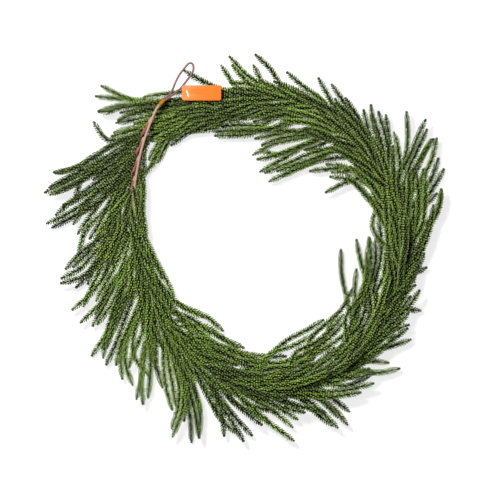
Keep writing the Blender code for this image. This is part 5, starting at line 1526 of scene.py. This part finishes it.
class GARLAND_OT_loop(bpy.types.Operator):
    """Build the hanging loop's thin taped wire."""

    bl_idname = "garland.loop"
    bl_label = "Build the hanging loop"

    def execute(self, context):
        tapes = context.scene.garland_tapes
        shape = Shape()
        line = line_through(line_through(LOOP_ROUTE, LOOP_POINTS), LOOP_RINGS)
        left = np.minimum(np.arange(LOOP_RINGS), np.arange(LOOP_RINGS)[::-1])
        radii = LOOP_RADIUS + LOOP_TAPE * ease((left - LOOP_BARE) / LOOP_BARE)
        ridge = tapes.ridge / MM * LOOP_RIDGE
        wound_wire(shape, line, radii, tapes.loop_lap / MM, ridge, MIDDLE_TONE, 0)
        material = floral_tape("Mauve crepe tape", tapes.loop_body, tapes.loop_edge, 0.5)
        put(shape.make("taped_loop", [material]), "loop_tape", "hanging_loop")
        return {"FINISHED"}


class GARLAND_OT_crimp(bpy.types.Operator):
    """Build the brass crimp, pinched on the wires."""

    bl_idname = "garland.crimp"
    bl_label = "Build the crimp"

    def execute(self, context):
        settings = context.scene.garland_fittings
        start, end = np.array(CRIMP_AXIS)
        onward = (end - start) / np.linalg.norm(end - start)
        across = np.array((onward[1], -onward[0], 0.0))
        across = across / np.linalg.norm(across)
        up = np.cross(across, onward)
        up = up * np.sign(up[2])
        inner = LOOP_RADIUS + CRIMP_CLEARANCE
        rings = []
        shares = np.linspace(-0.5, 0.5, CRIMP_RINGS)
        for wall, depth, order in ((CRIMP_WALL, 1.0, shares), (0.0, INNER_DENT, shares[::-1])):
            for share in order:
                wave = math.cos(share * CRIMP_DENTS * math.pi) ** 2
                dent = settings.pinch / MM * wave * (abs(share) < CRIMP_LIP) * depth
                flare = CRIMP_FLARE * (abs(share) > CRIMP_LIP)
                outline = oval(LEG_SPACING / 2.0, inner + wall - dent + flare, CRIMP_SIDES)
                seam = np.exp(-(outline[:, 0] / SEAM_WIDTH) ** 2) * (outline[:, 1] > 0.0) * SEAM_DEPTH
                outline[:, 1] -= seam * bool(wall)
                middle = (start + end) / 2.0 + onward * share * CRIMP_LENGTH
                rings.append(middle + outline[:, :1] * across + outline[:, 1:] * up)
        faces = wall_faces(len(rings), CRIMP_SIDES, len(rings) * CRIMP_SIDES)
        if float(np.cross(across, up) @ onward) < 0.0:
            faces = faces[:, ::-1]
        shape = Shape()
        shape.add(np.vstack(rings), faces, (MIDDLE_TONE, 0.5, 0.0))
        piece = shape.make("pinched_crimp", [drawn_brass(settings.brass)])
        piece.data.set_sharp_from_angle(angle=CRIMP_SHARP)
        put(piece, "brass", "crimp")
        return {"FINISHED"}


class GARLAND_OT_tag(bpy.types.Operator):
    """Build the bare tag with its round corners, soft edges and hole."""

    bl_idname = "garland.tag"
    bl_label = "Build the tag"

    def execute(self, context):
        settings = context.scene.garland_fittings
        edge = settings.tag_edge
        curve = bpy.data.curves.new("orange_tag", "CURVE")
        curve.dimensions = "2D"
        curve.fill_mode = "BOTH"
        curve.extrude = TAG_SIZE[2] / 2.0 * MM - edge
        curve.bevel_depth = edge
        curve.bevel_resolution = TAG_EDGE_STEPS
        curve.offset = -edge
        centre = (TAG_HOLE[0] - TAG_CENTRE[0], TAG_HOLE[1] - TAG_CENTRE[1])
        hole = [(centre[0] + TAG_HOLE_RADIUS * math.cos(turn), centre[1] + TAG_HOLE_RADIUS * math.sin(turn))
                for turn in np.linspace(0.0, 2.0 * math.pi, TAG_HOLE_POINTS, endpoint=False)]
        for outline in (round_rectangle(TAG_SIZE[0], TAG_SIZE[1], TAG_CORNER), hole):
            spline = curve.splines.new("POLY")
            spline.points.add(len(outline) - 1)
            for knot, (x, y) in zip(spline.points, outline):
                knot.co = (x * MM, y * MM, 0.0, 1.0)
            spline.use_cyclic_u = True
        board = add_object("board", curve)
        board.location = Vector(TAG_CENTRE) * MM
        context.view_layer.update()
        mesh = bpy.data.meshes.new_from_object(board.evaluated_get(context.evaluated_depsgraph_get()))
        mesh.transform(Matrix.Translation(board.location))
        bpy.data.objects.remove(board)
        piece = add_object("orange_tag", mesh)
        weld = piece.modifiers.new("Weld", "WELD")
        weld.merge_threshold = TAG_WELD * MM
        mesh.shade_smooth()
        mesh.set_sharp_from_angle(angle=TAG_SHARP)
        mesh.materials.clear()
        mesh.materials.append(tag_board(settings))
        put(piece, "tag_board", "hang_tag")
        return {"FINISHED"}


class GARLAND_OT_pin(bpy.types.Operator):
    """Build the nylon pin: a round-ended bar on the tag and a thread down to the loop's leg."""

    bl_idname = "garland.pin"
    bl_label = "Build the tag pin"

    def execute(self, context):
        shape = Shape()
        top = np.array(PIN_ROUTE[0])
        turn = math.radians(PIN_BAR_TURN)
        half = np.array((math.cos(turn), math.sin(turn), 0.0)) * PIN_BAR_LENGTH / 2.0
        shares = np.sin(np.linspace(-math.pi / 2.0, math.pi / 2.0, PIN_BAR_RINGS))
        line = top + half * shares[:, None]
        left = PIN_BAR_LENGTH / 2.0 * (1.0 - abs(shares))
        squared = 1.0 - (1.0 - np.minimum(left / PIN_BAR_RADIUS, 1.0)) ** 2
        radii = PIN_BAR_RADIUS * np.sqrt(np.clip(squared, PIN_BAR_TIP, 1.0))
        thread = line_through(line_through(PIN_ROUTE, PIN_POINTS), PIN_RINGS)
        for route, reach, sides in ((line, radii, PIN_BAR_SIDES),
                                    (thread, np.full(PIN_RINGS, PIN_RADIUS), PIN_SIDES)):
            spots, faces = tube_spots(route, reach, sides), tube_faces(len(route), sides)
            shape.add(spots, faces, (MIDDLE_TONE, 0.5, 0.0))
        piece = shape.make("nylon_pin", [nylon(context.scene.garland_fittings.nylon)])
        put(piece, "nylon", "tag_pin")
        return {"FINISHED"}


class GARLAND_OT_stage(bpy.types.Operator):
    """Set the floor, the soft lights and the camera straight above the ring."""

    bl_idname = "garland.stage"
    bl_label = "Set the stage"

    def execute(self, context):
        settings = context.scene.garland_stage
        half = settings.floor_size / 2.0
        mesh = bpy.data.meshes.new("floor")
        corners = [(-half, -half, 0.0), (half, -half, 0.0), (half, half, 0.0), (-half, half, 0.0)]
        mesh.from_pydata(corners, [], [(0, 1, 2, 3)])
        mesh.materials.append(light_table(settings))
        floor = add_object("floor", mesh)
        floor.location.z = FLOOR_DROP * MM
        for name, power, size, spot in LAMPS:
            light = bpy.data.lights.new(name, "AREA")
            light.energy = getattr(settings, power)
            light.size = size
            lamp = add_object(name, light)
            lamp.location = spot
            lamp.rotation_euler = Vector(spot).to_track_quat("Z", "Y").to_euler()
            lamp.visible_camera = False
        world = bpy.data.worlds.new("Soft sky")
        world.use_nodes = True
        background = world.node_tree.nodes["Background"]
        background.inputs["Color"].default_value = (1.0, 1.0, 1.0, 1.0)
        background.inputs["Strength"].default_value = settings.sky
        context.scene.world = world
        context.scene.view_settings.view_transform = "Standard"
        camera = bpy.data.cameras.new("camera")
        camera.lens = settings.lens
        camera.clip_end = CAMERA_REACH
        eye = add_object("camera", camera)
        distance = settings.view_width * camera.lens / camera.sensor_width
        eye.location = (VIEW_CENTRE[0] * MM, VIEW_CENTRE[1] * MM, VIEW_HEIGHT * MM + distance)
        context.scene.camera = eye
        return {"FINISHED"}


class GARLAND_PT_panel(bpy.types.Panel):
    """Lists the garland's pieces and their settings."""

    bl_idname = "GARLAND_PT_panel"
    bl_label = "Pine Garland"
    bl_space_type = "VIEW_3D"
    bl_region_type = "UI"
    bl_category = "Garland"

    def draw(self, context):
        for settings, operators in PANEL_ROWS:
            box = self.layout.box()
            group = getattr(context.scene, settings)
            for name in group.__annotations__:
                box.prop(group, name)
            for operator in operators:
                box.operator(operator.bl_idname)


SETTINGS = (
    ("garland_sprigs", SprigSettings),
    ("garland_tapes", TapeSettings),
    ("garland_fittings", FittingSettings),
    ("garland_stage", StageSettings),
)
PANEL_ROWS = (
    ("garland_sprigs", (GARLAND_OT_sprays,)),
    ("garland_tapes", (GARLAND_OT_stem, GARLAND_OT_loop)),
    ("garland_fittings", (GARLAND_OT_crimp, GARLAND_OT_tag, GARLAND_OT_pin)),
    ("garland_stage", (GARLAND_OT_stage,)),
)
CLASSES = (
    *(group for _, group in SETTINGS),
    *(operator for _, operators in PANEL_ROWS for operator in operators),
    GARLAND_PT_panel,
)


def register():
    """Registers the settings, operators and panel."""
    for each in CLASSES:
        bpy.utils.register_class(each)
    for name, group in SETTINGS:
        setattr(bpy.types.Scene, name, PointerProperty(type=group))


def unregister():
    """Takes them out again."""
    for name, _ in SETTINGS:
        delattr(bpy.types.Scene, name)
    for each in reversed(CLASSES):
        bpy.utils.unregister_class(each)


def main():
    """Builds every piece and the stage."""
    register()
    bpy.ops.garland.stage()
    bpy.ops.garland.stem()
    bpy.ops.garland.loop()
    bpy.ops.garland.crimp()
    bpy.ops.garland.tag()
    bpy.ops.garland.pin()
    bpy.ops.garland.sprays()


if __name__ == "__main__":
    main()
